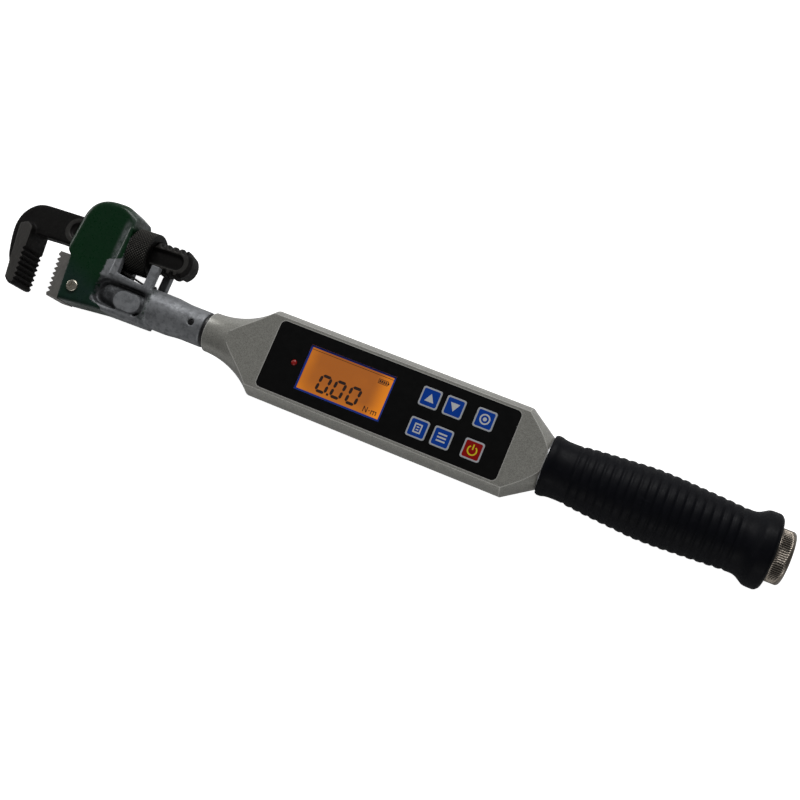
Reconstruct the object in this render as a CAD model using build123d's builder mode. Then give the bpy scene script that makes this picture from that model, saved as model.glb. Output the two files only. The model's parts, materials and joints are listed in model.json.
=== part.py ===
from build123d import *
import os
from math import cos, radians, sin, sqrt, tan

# Digital torque wrench with a pipe-wrench head.  Millimetres.
# +X runs along the tool axis from the head to the end cap, +Y is the side of the hook-jaw shank and
# +Z is the outward side of the display.  The origin is on the tool axis, on the crests of the heel jaw.

os.makedirs("parts", exist_ok=True)

# ---------------------------------------------------------------- driving dimensions

# jaws
TOOTH_PITCH = 2.8
TOOTH_DEPTH = 1.7
CREST_LAND = 0.5
HEEL_SLANT = 7.5                      # degrees between the heel crests and +Y
HEEL_WIDTH = 18.6
HEEL_TOP, HEEL_BOTTOM = 10.4, -15.4
HEEL_DEPTH = 7.2
HOOK_SLANT = 8.2
HOOK_PITCH = 3.0
HOOK_WIDTH = 19.0
HOOK_CREST_X = -20.9                  # hook-jaw crest line where it crosses the tool axis
PIN_AT = (15.3, -5.4)                 # pin that holds the heel jaw
PIN_RADIUS = 2.0

# shank of the hook jaw, with a thread on its two narrow edges
SHANK_TILT = 2.8                      # degrees, rising towards the handle
SHANK_Y = 24.97                       # shank axis at x = 0
SHANK_END = 73.0
BLADE = 10.0
THREAD_PITCH = 4.25
CREST_RADIUS = 8.85
ROOT_RADIUS = 7.2
THREAD_START = 12.0
THREAD_CLEARANCE = 0.25
POCKET_START, POCKET_END, POCKET_WIDTH, POCKET_DEPTH = -3.8, 67.5, 9.0, 1.6

# adjusting nut
NUT_START, NUT_LENGTH, NUT_RADIUS = 36.2, 12.8, 12.8

# head casting
CAST_HALF = 10.3
LIP_HALF = 10.8
SLOT_HALF = 6.5
SLOT_FLOOR = 13.7
REAR_FACE_LOW = (36.8, 10.3)
FLOOR_END = (54.0, 8.9)
POST_FRONT, POST_BACK, POST_TOP = 53.8, 58.7, 21.3
NECK_RADIUS, SOCKET_RADIUS = 10.8, 9.95
SOCKET_END = 94.3
SPIGOT_RADIUS = 6.5
SPIGOT_TIP = 64.5
DETENT_X = 87.6

# body
BODY_START, BODY_END = 96.6, 289.3
BODY_RADIUS = 24.1
NOSE_RADIUS = 11.0
FLARE_RADIUS = 49.6
SHOULDER_X = 274.2
TAIL_RADIUS = 13.9
FLAT_HALF = 13.0
PANEL_X = (136.2, 270.9)
PANEL_HALF_Y = 18.7
PANEL_FLOOR, PANEL_TOP = 12.15, 12.95
PANEL_GAP = 0.1
LEDGE_Z = 6.8
POCKET_FLOOR = -10.5
UPPER_POCKET = (138.5, 268.5, 17.2)   # x from, x to, half width
LOWER_POCKET = (142.0, 262.0, 13.5)
NOSE_BORE = 8.3
BEAM_RADIUS = 8.0
FLEX_START, CLAMP_START, BEAM_END = 126.0, 205.0, 236.0
CLAMP_HALF_Z, CLAMP_HALF_Y = 5.5, 5.8
CLAMP_SCREWS_X = (212.0, 229.0)

# display, keys and lamp
WINDOW = (156.2, 204.8, -12.7, 12.2)  # x from, x to, y from, y to
KEY_SIZE = (10.4, 10.3)
KEY_COLUMNS = (224.85, 237.95, 254.55)
KEY_ROW_Y = 8.3
KEY_TOP = 13.1
LAMP_AT = (151.1, -0.2)
LAMP_RADIUS = 1.65
BOARD = (139.0, 268.0, 16.9)
BOARD_THICK = 1.6
BOARD_SCREW_AT = (143.0, 264.0, 15.3)

# handle
BOSS_RADIUS, BOSS_END = 9.95, 297.0
TUBE_SCREW_X, TUBE_SCREW_RADIUS = 293.3, 1.5
TUBE_INNER, TUBE_OUTER, TUBE_END = 10.0, 13.0, 403.2
GRIP_INNER = 13.02
GRIP_START, GRIP_END = 289.8, 403.7
RIB_START, RIB_END, RIB_COUNT, RIB_DEPTH = 305.0, 386.0, 18, 0.75
CELL_RADIUS, CELL_LENGTH, CELL_START = 7.25, 50.5, 299.0
CELL_GAP = 0.1
CAP_START, CAP_END, CAP_RADIUS = 403.8, 411.7, 13.5
NECK_START, NECK_OUTER, NECK_INNER = 394.0, 9.9, 8.2
CAP_FLOOR = 408.9

# ---------------------------------------------------------------- helpers

tilt = tan(radians(SHANK_TILT))


def shank_axis(x):
    """Height of the shank axis over the tool axis."""
    return SHANK_Y + tilt * x


shank_plane = Plane(origin=(0, SHANK_Y, 0), x_dir=(cos(radians(SHANK_TILT)), sin(radians(SHANK_TILT)), 0))


def shank_section(u):
    """Plane square to the shank axis at distance u along it, its own x pointing out of the display side."""
    along = shank_plane.x_dir
    return Plane(origin=shank_plane.origin + along * u, x_dir=(0, 0, 1), z_dir=along)


def across(x):
    """Plane square to the tool axis at x."""
    return Plane(origin=(x, 0, 0), x_dir=(0, 1, 0), z_dir=(1, 0, 0))


def save(piece, name):
    """Label one finished piece and write it as its own file."""
    piece.label = name
    export_step(piece, f"parts/{name}.step")


def tooth_row(crest, slant, pitch, depth, land, first, last):
    """Points of a row of teeth facing down the crest line, from tooth number first to tooth number last.

    crest is the middle of tooth 0, slant the crest line's angle from +Y, depth is positive towards +X."""
    along = (-sin(radians(slant)), cos(radians(slant)))
    deep = (along[1], -along[0])
    points = []
    for tooth in range(first, last + 1):
        for shift, into in ((-land / 2, 0), (land / 2, 0), (pitch / 2, depth)):
            step = tooth * pitch + shift
            points.append(
                (crest[0] + along[0] * step + deep[0] * into, crest[1] + along[1] * step + deep[1] * into)
            )
    return points[:-1]


def rounded_box(x_from, x_to, y_from, y_to, corner):
    """Rounded rectangle between four limits, drawn in the sketch that is open."""
    with Locations(((x_from + x_to) / 2, (y_from + y_to) / 2)):
        RectangleRounded(x_to - x_from, y_to - y_from, corner)


def heel_point(y, depth):
    """Point at height y, at a depth behind the heel's crest line."""
    return (depth - y * tan(radians(HEEL_SLANT)), y)


# ---------------------------------------------------------------- head casting

ARCH_FOOT = (1.2, 17.5)
ARCH_TOP = [(2.4, 33.0), (4.6, 40.6), (10.4, 45.8), (21.6, 47.6), (34.2, 43.6)]
ARCH_ROUND, BELLY_ROUND = 4.0, 2.2
TONGUE = (3.0, 21.0, -10.2, -0.4)     # x from, x to, y from, y to
TONGUE_HALF, TONGUE_GAP = 4.5, 0.06
SPRING_X, SPRING_HOLE, SPRING_SEAT = 14.0, 3.3, 4.6
RECESS = (27.5, 59.6, -8.8, 5.8)
RECESS_FLOOR = 5.6
BAR_RADIUS, BAR_Y, BAR_Z, BAR_START = 7.0, -1.5, 2.3, 36.0
PAD_AT, PAD_SIZE, PAD_TOP = (48.7, -2.7), (17.4, 11.4), 9.9
LEAF_RIVET = (54.2, 9.7)

with BuildPart() as head_housing:
    with BuildSketch(Plane.XY):
        with BuildLine():
            Line(ARCH_FOOT, ARCH_TOP[0])
            Spline(*ARCH_TOP, tangents=((0.08, 1), (1, -0.5)))
            Polyline(ARCH_TOP[-1], REAR_FACE_LOW, FLOOR_END, (60, 8.5), (60, -11.5), (33.5, -12.1))
            seat = HEEL_DEPTH + TONGUE_GAP
            Polyline((33.5, -12.1), heel_point(-14.8, seat), heel_point(10.6, seat), (3.4, 12.6), ARCH_FOOT)
        make_face()
    extrude(amount=CAST_HALF, both=True)
    rims = head_housing.edges().filter_by(lambda edge: abs(abs(edge.center().Z) - CAST_HALF) < 0.01)
    fillet(rims.filter_by(lambda edge: edge.center().Y > ARCH_FOOT[1] and edge.center().X < 34), ARCH_ROUND)
    rims = head_housing.edges().filter_by(lambda edge: abs(abs(edge.center().Z) - CAST_HALF) < 0.01)
    fillet(rims.filter_by(lambda edge: edge.center().Y < -11.5), BELLY_ROUND)
    # bare lip round the window of the nut, and the two guide posts
    with BuildSketch(Plane.XY.offset(SLOT_HALF)):
        with BuildLine():
            Polyline((33.0, 36.5), (34.8, 36.5), REAR_FACE_LOW, FLOOR_END, (POST_FRONT, POST_TOP))
            Polyline((POST_FRONT, POST_TOP), (POST_BACK, POST_TOP), (POST_BACK, 7.0))
            Polyline((POST_BACK, 7.0), (32.6, 8.4), (33.0, 36.5))
        make_face()
    lip = extrude(amount=LIP_HALF - SLOT_HALF)
    mirror(lip, about=Plane.XY)
    # neck and socket
    with BuildSketch(Plane.XY):
        with BuildLine():
            Polyline((57, 0), (57, NECK_RADIUS), (71, NECK_RADIUS))
            Spline((71, NECK_RADIUS), (82, SOCKET_RADIUS), tangents=((1, 0), (1, 0)))
            Line((82, SOCKET_RADIUS), (SOCKET_END - 0.4, SOCKET_RADIUS))
            Line((SOCKET_END - 0.4, SOCKET_RADIUS), (SOCKET_END, SOCKET_RADIUS - 0.4))
            Polyline((SOCKET_END, SOCKET_RADIUS - 0.4), (SOCKET_END, 0), (57, 0))
        make_face()
    revolve(axis=Axis.X)
    # side recesses, each with a half-round bar and a raised pad in it
    for side in (1, -1):
        with BuildSketch(Plane.XY.offset(side * RECESS_FLOOR)):
            rounded_box(*RECESS, 6.5)
        extrude(amount=side * 8, mode=Mode.SUBTRACT)
        with BuildSketch(Plane.XY.offset(side * BAR_Z)):
            with BuildLine():
                Line((BAR_START - BAR_RADIUS, BAR_Y), (59.0, BAR_Y))
                Line((59.0, BAR_Y), (59.0, BAR_Y + BAR_RADIUS))
                Line((59.0, BAR_Y + BAR_RADIUS), (BAR_START, BAR_Y + BAR_RADIUS))
                RadiusArc((BAR_START, BAR_Y + BAR_RADIUS), (BAR_START - BAR_RADIUS, BAR_Y), -BAR_RADIUS)
            make_face()
        bar_axis = Axis((0, BAR_Y, side * BAR_Z), (1, 0, 0))
        revolve(axis=bar_axis)
        with BuildSketch(Plane.XY.offset(side * BAR_Z)):
            with Locations(PAD_AT):
                SlotOverall(*PAD_SIZE)
        extrude(amount=side * (PAD_TOP - BAR_Z))
    # slot for the shank, open to the front and to the window
    with BuildSketch(Plane.XY):
        with BuildLine():
            Polyline((-2, SLOT_FLOOR), (26, SLOT_FLOOR), (33, 10.7), REAR_FACE_LOW, (40, 10.3))
            Polyline((40, 10.3), (40, shank_axis(40) + 9.4), (-2, shank_axis(-2) + 9.4), (-2, SLOT_FLOOR))
        make_face()
    extrude(amount=SLOT_HALF, both=True, mode=Mode.SUBTRACT)
    # seat of the heel jaw's tongue and its cross pin
    with BuildSketch(Plane.XY):
        rounded_box(*TONGUE, 0.5)
    extrude(amount=TONGUE_HALF + TONGUE_GAP, both=True, mode=Mode.SUBTRACT)
    with Locations(Plane.XY.offset(CAST_HALF)):
        with Locations(PIN_AT):
            Hole(PIN_RADIUS + 0.02)
    # seat of the coil spring, rivet hole of the flat spring, bore of the spigot and hole of the detent pin
    with Locations(Plane((SPRING_X, SLOT_FLOOR, 0), x_dir=(1, 0, 0), z_dir=(0, 1, 0))):
        Hole(SPRING_HOLE, depth=SLOT_FLOOR - SPRING_SEAT)
    with Locations(Plane((LEAF_RIVET[0], 9.0, 0), x_dir=(1, 0, 0), z_dir=(0, 1, 0))):
        Hole(1.5, depth=5)
    with Locations(across(SOCKET_END)):
        Hole(SPIGOT_RADIUS + 0.05, depth=SOCKET_END - SPIGOT_TIP + 0.5)
    with Locations(Plane((DETENT_X, 0, 12))):
        Hole(1.8, depth=8)
save(head_housing.part, "head_housing")

# ---------------------------------------------------------------- heel jaw and its pin

with BuildPart() as heel_jaw:
    with BuildSketch(Plane.XY):
        with BuildLine():
            teeth = tooth_row((0, 0), HEEL_SLANT, TOOTH_PITCH, TOOTH_DEPTH, CREST_LAND, -5, 3)
            Polyline(
                heel_point(HEEL_BOTTOM, 0.4),
                *teeth,
                heel_point(HEEL_TOP, 0.9),
                heel_point(HEEL_TOP + 0.2, HEEL_DEPTH),
                heel_point(HEEL_BOTTOM + 0.4, HEEL_DEPTH),
                heel_point(HEEL_BOTTOM, 0.4),
            )
        make_face()
    extrude(amount=HEEL_WIDTH / 2, both=True)
    with BuildSketch(Plane.XY):
        root = heel_point(TONGUE[3], HEEL_DEPTH)[0] - 1
        rounded_box(root, TONGUE[1] - TONGUE_GAP, TONGUE[2] + TONGUE_GAP, TONGUE[3] - TONGUE_GAP, 0.6)
    extrude(amount=TONGUE_HALF, both=True)
    with Locations(Plane.XY.offset(TONGUE_HALF)):
        with Locations(PIN_AT):
            Hole(PIN_RADIUS + 0.02)
save(heel_jaw.part, "heel_jaw")

PIN_HEAD_RADIUS, PIN_HEAD_HEIGHT = 3.3, 1.3

with BuildPart() as heel_jaw_pin:
    with Locations(PIN_AT):
        Cylinder(PIN_RADIUS, 2 * CAST_HALF)
    for side in (1, -1):
        with BuildSketch(Plane((PIN_AT[0], PIN_AT[1], side * CAST_HALF))):
            Circle(PIN_HEAD_RADIUS)
        extrude(amount=side * PIN_HEAD_HEIGHT)
    rims = heel_jaw_pin.edges().filter_by(
        lambda edge: abs(abs(edge.center().Z) - CAST_HALF - PIN_HEAD_HEIGHT) < 0.01
    )
    fillet(rims, 0.8)
    with BuildSketch(Plane((PIN_AT[0], PIN_AT[1], CAST_HALF + PIN_HEAD_HEIGHT))):
        for turn in (20, 110):
            Rectangle(3.2, 0.7, rotation=turn)
    extrude(amount=-0.7, mode=Mode.SUBTRACT)
save(heel_jaw_pin.part, "heel_jaw_pin")

# ---------------------------------------------------------------- hook jaw

RIDGE_BASE, RIDGE_CREST = 2.3, 1.5    # widths of the shank thread's ridge along the axis


def thread_ridge(start, length, inner, outer, inner_width, outer_width):
    """Helical ridge about the shank axis, with a trapezoid section between two radii."""
    base = shank_section(start)
    with BuildPart(mode=Mode.PRIVATE) as ridge:
        with BuildLine(base) as path:
            Helix(THREAD_PITCH, length, (inner + outer) / 2, direction=base.z_dir)
        foot = path.line @ 0
        radial = (foot - base.origin).normalized()
        with BuildSketch(Plane(origin=foot, x_dir=radial, z_dir=path.line % 0)):
            half = (outer - inner) / 2
            with BuildLine():
                Polyline(
                    (-half, -inner_width / 2),
                    (half, -outer_width / 2),
                    (half, outer_width / 2),
                    (-half, inner_width / 2),
                    (-half, -inner_width / 2),
                )
            make_face()
        sweep(path=path.line, is_frenet=True)
    return ridge.part


shank_turns = int((SHANK_END - THREAD_START) / THREAD_PITCH) + 1
ridge_slope = (RIDGE_BASE - RIDGE_CREST) / (CREST_RADIUS - ROOT_RADIUS)
ridge_sink = 0.3
shank_ridge = thread_ridge(
    THREAD_START,
    shank_turns * THREAD_PITCH,
    ROOT_RADIUS - ridge_sink,
    CREST_RADIUS,
    RIDGE_BASE + ridge_slope * ridge_sink,
    RIDGE_CREST,
)

HOOK_BACK = [(-21.2, 32.75), (-28.9, 30.9), (-35.2, 24.2), (-36.8, 13.5), (-33.5, 0.3), (-26.8, -11.8)]
HOOK_TOE = [(-24.3, -16.0), (-22.4, -17.1), (-19.7, -16.8)]
BLADE_FACE = [(-21.2, -14.0), (-24.4, 8.0), (-22.9, 14.0)]     # middle of the jaw, behind the tooth roots
hook_teeth = tooth_row((HOOK_CREST_X, 0), HOOK_SLANT, HOOK_PITCH, -TOOTH_DEPTH, CREST_LAND, -5, 2)
HOOK_CHEEK = [(-22.9, 15.5), (-24.2, 18.2), (-27.7, 19.2), (-30.6, 17.6), (-31.1, 15.0), (-25.8, -14.4)]

with BuildPart() as hook_jaw:
    # threaded length, cut down to a blade with a round end
    with BuildSketch(shank_section(THREAD_START)):
        Circle(ROOT_RADIUS)
    extrude(amount=SHANK_END - THREAD_START)
    add(shank_ridge)
    with BuildSketch(shank_plane):
        with BuildLine():
            Polyline(
                (SHANK_END - CREST_RADIUS, -CREST_RADIUS - 0.01),
                (THREAD_START, -CREST_RADIUS - 0.01),
                (THREAD_START, CREST_RADIUS + 0.01),
                (SHANK_END - CREST_RADIUS, CREST_RADIUS + 0.01),
            )
            ThreePointArc(
                (SHANK_END - CREST_RADIUS, CREST_RADIUS + 0.01),
                (SHANK_END, 0),
                (SHANK_END - CREST_RADIUS, -CREST_RADIUS - 0.01),
            )
        make_face()
    extrude(amount=BLADE / 2, both=True, mode=Mode.INTERSECT)
    # plain shank and forged hook
    top_line = shank_axis(THREAD_START) + CREST_RADIUS
    low_line = shank_axis(THREAD_START) - CREST_RADIUS
    with BuildSketch(Plane.XY):
        with BuildLine():
            Spline(*HOOK_BACK, tangents=((-1, -tilt), (0.55, -0.95)))
            Polyline(HOOK_BACK[-1], *HOOK_TOE, *BLADE_FACE, (-21.5, 15.1))
            Polyline((-21.5, 15.1), (THREAD_START + 0.5, low_line), (THREAD_START, top_line), HOOK_BACK[0])
        make_face()
    extrude(amount=BLADE / 2, both=True)
    # wide block that carries the teeth
    with BuildSketch(Plane.XY):
        with BuildLine():
            Polyline(HOOK_TOE[2], *hook_teeth, HOOK_CHEEK[0])
            Spline(*HOOK_CHEEK[:5], tangents=((0, 1), (0, -1)))
            Polyline(HOOK_CHEEK[4], HOOK_CHEEK[5], HOOK_TOE[0], HOOK_TOE[1], HOOK_TOE[2])
        make_face()
    extrude(amount=HOOK_WIDTH / 2, both=True)
    # long pocket in each side of the shank
    for side in (1, -1):
        with BuildSketch(shank_plane.offset(side * BLADE / 2)):
            with Locations(((POCKET_START + POCKET_END) / 2, 0)):
                SlotOverall(POCKET_END - POCKET_START, POCKET_WIDTH)
        extrude(amount=-side * POCKET_DEPTH, mode=Mode.SUBTRACT)
save(hook_jaw.part, "hook_jaw")

# ---------------------------------------------------------------- adjusting nut

nut_inner = ROOT_RADIUS + THREAD_CLEARANCE
nut_bore = CREST_RADIUS + THREAD_CLEARANCE
first_turn = int((NUT_START - THREAD_START) / THREAD_PITCH) - 1
nut_groove = thread_ridge(
    THREAD_START + first_turn * THREAD_PITCH,
    6 * THREAD_PITCH,
    nut_inner - ridge_sink,
    nut_bore,
    RIDGE_BASE + 2 * THREAD_CLEARANCE,
    RIDGE_CREST + 2 * THREAD_CLEARANCE,
)

with BuildPart() as adjusting_nut:
    with BuildSketch(shank_section(NUT_START)):
        Circle(NUT_RADIUS)
    extrude(amount=NUT_LENGTH)
    chamfer(adjusting_nut.edges().filter_by(GeomType.CIRCLE), 0.8)
    add(nut_groove, mode=Mode.SUBTRACT)
    with BuildSketch(shank_section(NUT_START)):
        Circle(nut_inner)
    extrude(amount=NUT_LENGTH, mode=Mode.SUBTRACT)
save(adjusting_nut.part, "adjusting_nut")

# ---------------------------------------------------------------- springs under the shank

LEAF_THICK, LEAF_WIDTH = 1.0, 10.0
leaf_gap = 0.15


def under_shank(x):
    """Point of the flat spring's upper face where it lies along the shank."""
    return (x, shank_axis(x) - CREST_RADIUS - leaf_gap)


with BuildPart() as jaw_flat_spring:
    with BuildSketch(Plane.XY):
        with BuildLine():
            Polyline(under_shank(8), under_shank(27), (34.5, 13.9), (50, 10.7), (56.7, 10.4))
            offset(amount=LEAF_THICK, side=Side.RIGHT)
        make_face()
    extrude(amount=LEAF_WIDTH / 2, both=True)
    with Locations(Plane((LEAF_RIVET[0], 12, 0), x_dir=(1, 0, 0), z_dir=(0, 1, 0))):
        Hole(1.6)
save(jaw_flat_spring.part, "jaw_flat_spring")

RIVET_FOOT, RIVET_SHOULDER, RIVET_TOP = 4.2, 10.7, 12.1
RIVET_RADIUS, RIVET_HEAD_RADIUS = 1.45, 2.8
rivet_axis = Axis((LEAF_RIVET[0], 0, 0), (0, 1, 0))

with BuildPart() as flat_spring_rivet:
    with BuildSketch(Plane(rivet_axis.position)):
        with BuildLine():
            Polyline((0, RIVET_FOOT), (RIVET_RADIUS, RIVET_FOOT), (RIVET_RADIUS, RIVET_SHOULDER))
            Line((RIVET_RADIUS, RIVET_SHOULDER), (RIVET_HEAD_RADIUS, RIVET_SHOULDER))
            Line((RIVET_HEAD_RADIUS, RIVET_SHOULDER), (2.1, RIVET_TOP - 0.2))
            Polyline((2.1, RIVET_TOP - 0.2), (0, RIVET_TOP), (0, RIVET_FOOT))
        make_face()
    revolve(axis=rivet_axis)
save(flat_spring_rivet.part, "flat_spring_rivet")

COIL_RADIUS, COIL_WIRE = 2.4, 0.45
coil_height = under_shank(SPRING_X)[1] - LEAF_THICK - SPRING_SEAT - 2 * COIL_WIRE - 0.15

with BuildPart() as jaw_coil_spring:
    coil_base = Plane((SPRING_X, SPRING_SEAT + COIL_WIRE + 0.05, 0), x_dir=(1, 0, 0), z_dir=(0, 1, 0))
    with BuildLine(coil_base) as coil_path:
        Helix(coil_height / 5, coil_height, COIL_RADIUS, direction=coil_base.z_dir)
    with BuildSketch(Plane(origin=coil_path.line @ 0, z_dir=coil_path.line % 0)):
        Circle(COIL_WIRE)
    sweep(path=coil_path.line, is_frenet=True)
save(jaw_coil_spring.part, "jaw_coil_spring")

# ---------------------------------------------------------------- sensor beam, detent and nose ring

FLEX_HALF_Z, FLEX_HALF_Y = 6.2, 4.0
DETENT_HOLE_FLOOR, DETENT_FOOT, DETENT_TIP = -4.2, 1.4, 9.4
DETENT_RADIUS = 1.6

with BuildPart() as sensor_beam:
    with BuildSketch(Plane.XY):
        with BuildLine():
            Polyline(
                (SPIGOT_TIP, 0),
                (SPIGOT_TIP, SPIGOT_RADIUS - 0.8),
                (SPIGOT_TIP + 0.8, SPIGOT_RADIUS),
                (SOCKET_END, SPIGOT_RADIUS),
                (SOCKET_END, BEAM_RADIUS),
                (BEAM_END, BEAM_RADIUS),
                (BEAM_END, 0),
                (SPIGOT_TIP, 0),
            )
        make_face()
    revolve(axis=Axis.X)
    for x_from, x_to, half_y, half_z in (
        (FLEX_START, CLAMP_START, FLEX_HALF_Y, FLEX_HALF_Z),
        (CLAMP_START, BEAM_END, CLAMP_HALF_Y, CLAMP_HALF_Z),
    ):
        with BuildSketch(across(x_from)):
            Circle(BEAM_RADIUS + 1)
            Rectangle(2 * half_y, 2 * half_z, mode=Mode.SUBTRACT)
        extrude(amount=x_to - x_from, mode=Mode.SUBTRACT)
    with Locations(Plane.XY.offset(CLAMP_HALF_Z)):
        with Locations(*[(x, 0) for x in CLAMP_SCREWS_X]):
            CounterBoreHole(2.15, 3.7, 4.4)
    with Locations(Plane((DETENT_X, 0, SPIGOT_RADIUS))):
        Hole(DETENT_RADIUS + 0.05, depth=SPIGOT_RADIUS - DETENT_HOLE_FLOOR)
save(sensor_beam.part, "sensor_beam")

with BuildPart() as detent_pin:
    with BuildSketch(Plane((DETENT_X, 0, DETENT_FOOT))):
        Circle(DETENT_RADIUS)
    extrude(amount=DETENT_TIP - DETENT_FOOT)
    fillet(detent_pin.edges().sort_by(Axis.Z)[-1], 0.9)
save(detent_pin.part, "detent_pin")

detent_wire = 0.25
detent_coil = DETENT_FOOT - DETENT_HOLE_FLOOR - 2 * detent_wire - 0.1

with BuildPart() as detent_spring:
    spring_foot = Plane((DETENT_X, 0, DETENT_HOLE_FLOOR + detent_wire + 0.05))
    with BuildLine(spring_foot) as detent_path:
        Helix(detent_coil / 6, detent_coil, 1.2)
    with BuildSketch(Plane(origin=detent_path.line @ 0, z_dir=detent_path.line % 0)):
        Circle(detent_wire)
    sweep(path=detent_path.line, is_frenet=True)
save(detent_spring.part, "detent_spring")

with BuildPart() as nose_ring:
    with BuildSketch(across(SOCKET_END + 0.05)):
        Circle(9.4)
        Circle(BEAM_RADIUS + 0.02, mode=Mode.SUBTRACT)
    extrude(amount=BODY_START - SOCKET_END - 0.1)
    chamfer(nose_ring.edges().filter_by(GeomType.CIRCLE).sort_by(SortBy.RADIUS)[-2:], 0.4)
save(nose_ring.part, "nose_ring")

GAUGE_X, GAUGE_SIZE = 158.0, (12, 0.14, 7)

with BuildPart() as strain_gauges:
    for side in (1, -1):
        with Locations((GAUGE_X, side * (FLEX_HALF_Y + 0.08), 0)):
            Box(*GAUGE_SIZE)
save(strain_gauges.part, "strain_gauges")

CLAMP_THREAD_END = -12.0

with BuildPart() as beam_screws:
    for x in CLAMP_SCREWS_X:
        with BuildSketch(Plane((x, 0, CLAMP_THREAD_END))):
            Circle(2.0)
        extrude(amount=CLAMP_HALF_Z - 4.4 - CLAMP_THREAD_END)
        with BuildSketch(Plane((x, 0, CLAMP_HALF_Z - 4.4))):
            Circle(3.5)
        extrude(amount=4.0)
        with BuildSketch(Plane((x, 0, CLAMP_HALF_Z - 0.4))):
            RegularPolygon(1.7, 6)
        extrude(amount=-2, mode=Mode.SUBTRACT)
save(beam_screws.part, "beam_screws")

# ---------------------------------------------------------------- body

flare_centre = (BODY_START + 0.4, NOSE_RADIUS + FLARE_RADIUS)
flare_rise = flare_centre[1] - BODY_RADIUS
flare_end = flare_centre[0] + sqrt(FLARE_RADIUS**2 - flare_rise**2)

with BuildPart() as body_housing:
    with BuildSketch(Plane.XY):
        with BuildLine():
            Polyline((BODY_START, 0), (BODY_START, NOSE_RADIUS - 0.5), (flare_centre[0], NOSE_RADIUS))
            RadiusArc((flare_centre[0], NOSE_RADIUS), (flare_end, BODY_RADIUS), -FLARE_RADIUS)
            Polyline((flare_end, BODY_RADIUS), (SHOULDER_X, BODY_RADIUS), (BODY_END, TAIL_RADIUS))
            Polyline((BODY_END, TAIL_RADIUS), (BODY_END, BOSS_RADIUS), (BOSS_END, BOSS_RADIUS))
            Polyline((BOSS_END, BOSS_RADIUS), (BOSS_END, 0), (BODY_START, 0))
        make_face()
    revolve(axis=Axis.X)
    with BuildSketch(Plane.XY):
        with Locations(((BODY_START + BOSS_END) / 2, 0)):
            Rectangle(BOSS_END - BODY_START + 2, 2 * BODY_RADIUS + 2)
    extrude(amount=FLAT_HALF, both=True, mode=Mode.INTERSECT)
    # recess of the panel, ledge of the circuit board, deep pocket
    with BuildSketch(Plane.XY.offset(PANEL_FLOOR)):
        rounded_box(*PANEL_X, -PANEL_HALF_Y, PANEL_HALF_Y, 2.8)
    extrude(amount=2, mode=Mode.SUBTRACT)
    with BuildSketch(Plane.XY.offset(LEDGE_Z)):
        rounded_box(UPPER_POCKET[0], UPPER_POCKET[1], -UPPER_POCKET[2], UPPER_POCKET[2], 2.0)
    extrude(amount=8, mode=Mode.SUBTRACT)
    with BuildSketch(Plane.XY.offset(POCKET_FLOOR)):
        rounded_box(LOWER_POCKET[0], LOWER_POCKET[1], -LOWER_POCKET[2], LOWER_POCKET[2], 4.0)
    extrude(amount=20, mode=Mode.SUBTRACT)
    # block that the sensor beam is bolted to
    with BuildSketch(Plane.XY.offset(POCKET_FLOOR - 0.5)):
        rounded_box(CLAMP_START + 1, BEAM_END, -8, 8, 2.0)
    extrude(amount=-CLAMP_HALF_Z - POCKET_FLOOR + 0.5)
    with Locations(Plane.XY.offset(-CLAMP_HALF_Z)):
        with Locations(*[(x, 0) for x in CLAMP_SCREWS_X]):
            Hole(2.0, depth=-CLAMP_HALF_Z - CLAMP_THREAD_END)
    # bores for the beam and for the battery wires
    with Locations(Plane((BODY_START, 0, 0), x_dir=(0, 1, 0), z_dir=(-1, 0, 0))):
        Hole(NOSE_BORE, depth=LOWER_POCKET[0] - BODY_START + 3)
    with Locations(across(BOSS_END)):
        Hole(3.0, depth=BOSS_END - LOWER_POCKET[1] + 3)
    # threaded holes of the board screws and of the set screws
    with Locations(Plane.XY.offset(LEDGE_Z)):
        with Locations(*[(x, y * BOARD_SCREW_AT[2]) for x in BOARD_SCREW_AT[:2] for y in (1, -1)]):
            Hole(1.0, depth=4.2)
    for side in (1, -1):
        with BuildSketch(Plane((TUBE_SCREW_X, side * 7.9, 0), x_dir=(1, 0, 0), z_dir=(0, side, 0))):
            Circle(TUBE_SCREW_RADIUS)
        extrude(amount=3, mode=Mode.SUBTRACT)
save(body_housing.part, "body_housing")

# ---------------------------------------------------------------- control panel, display and keys

KEY_CORNER, KEY_GAP = 1.3, 0.12
KEY_PLACES = {
    "key_up": (KEY_COLUMNS[0], KEY_ROW_Y),
    "key_down": (KEY_COLUMNS[1], KEY_ROW_Y),
    "key_set": (KEY_COLUMNS[2], KEY_ROW_Y),
    "key_print": (KEY_COLUMNS[0], -KEY_ROW_Y),
    "key_mode": (KEY_COLUMNS[1], -KEY_ROW_Y),
    "key_power": (KEY_COLUMNS[2], -KEY_ROW_Y),
}
FLANGE_BOTTOM, KEY_TRAVEL = 11.5, 0.4
STEM_RADIUS, STEM_END = 1.5, 10.6
SWITCH_SIZE, SWITCH_TOP = 6.2, 11.0

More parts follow.
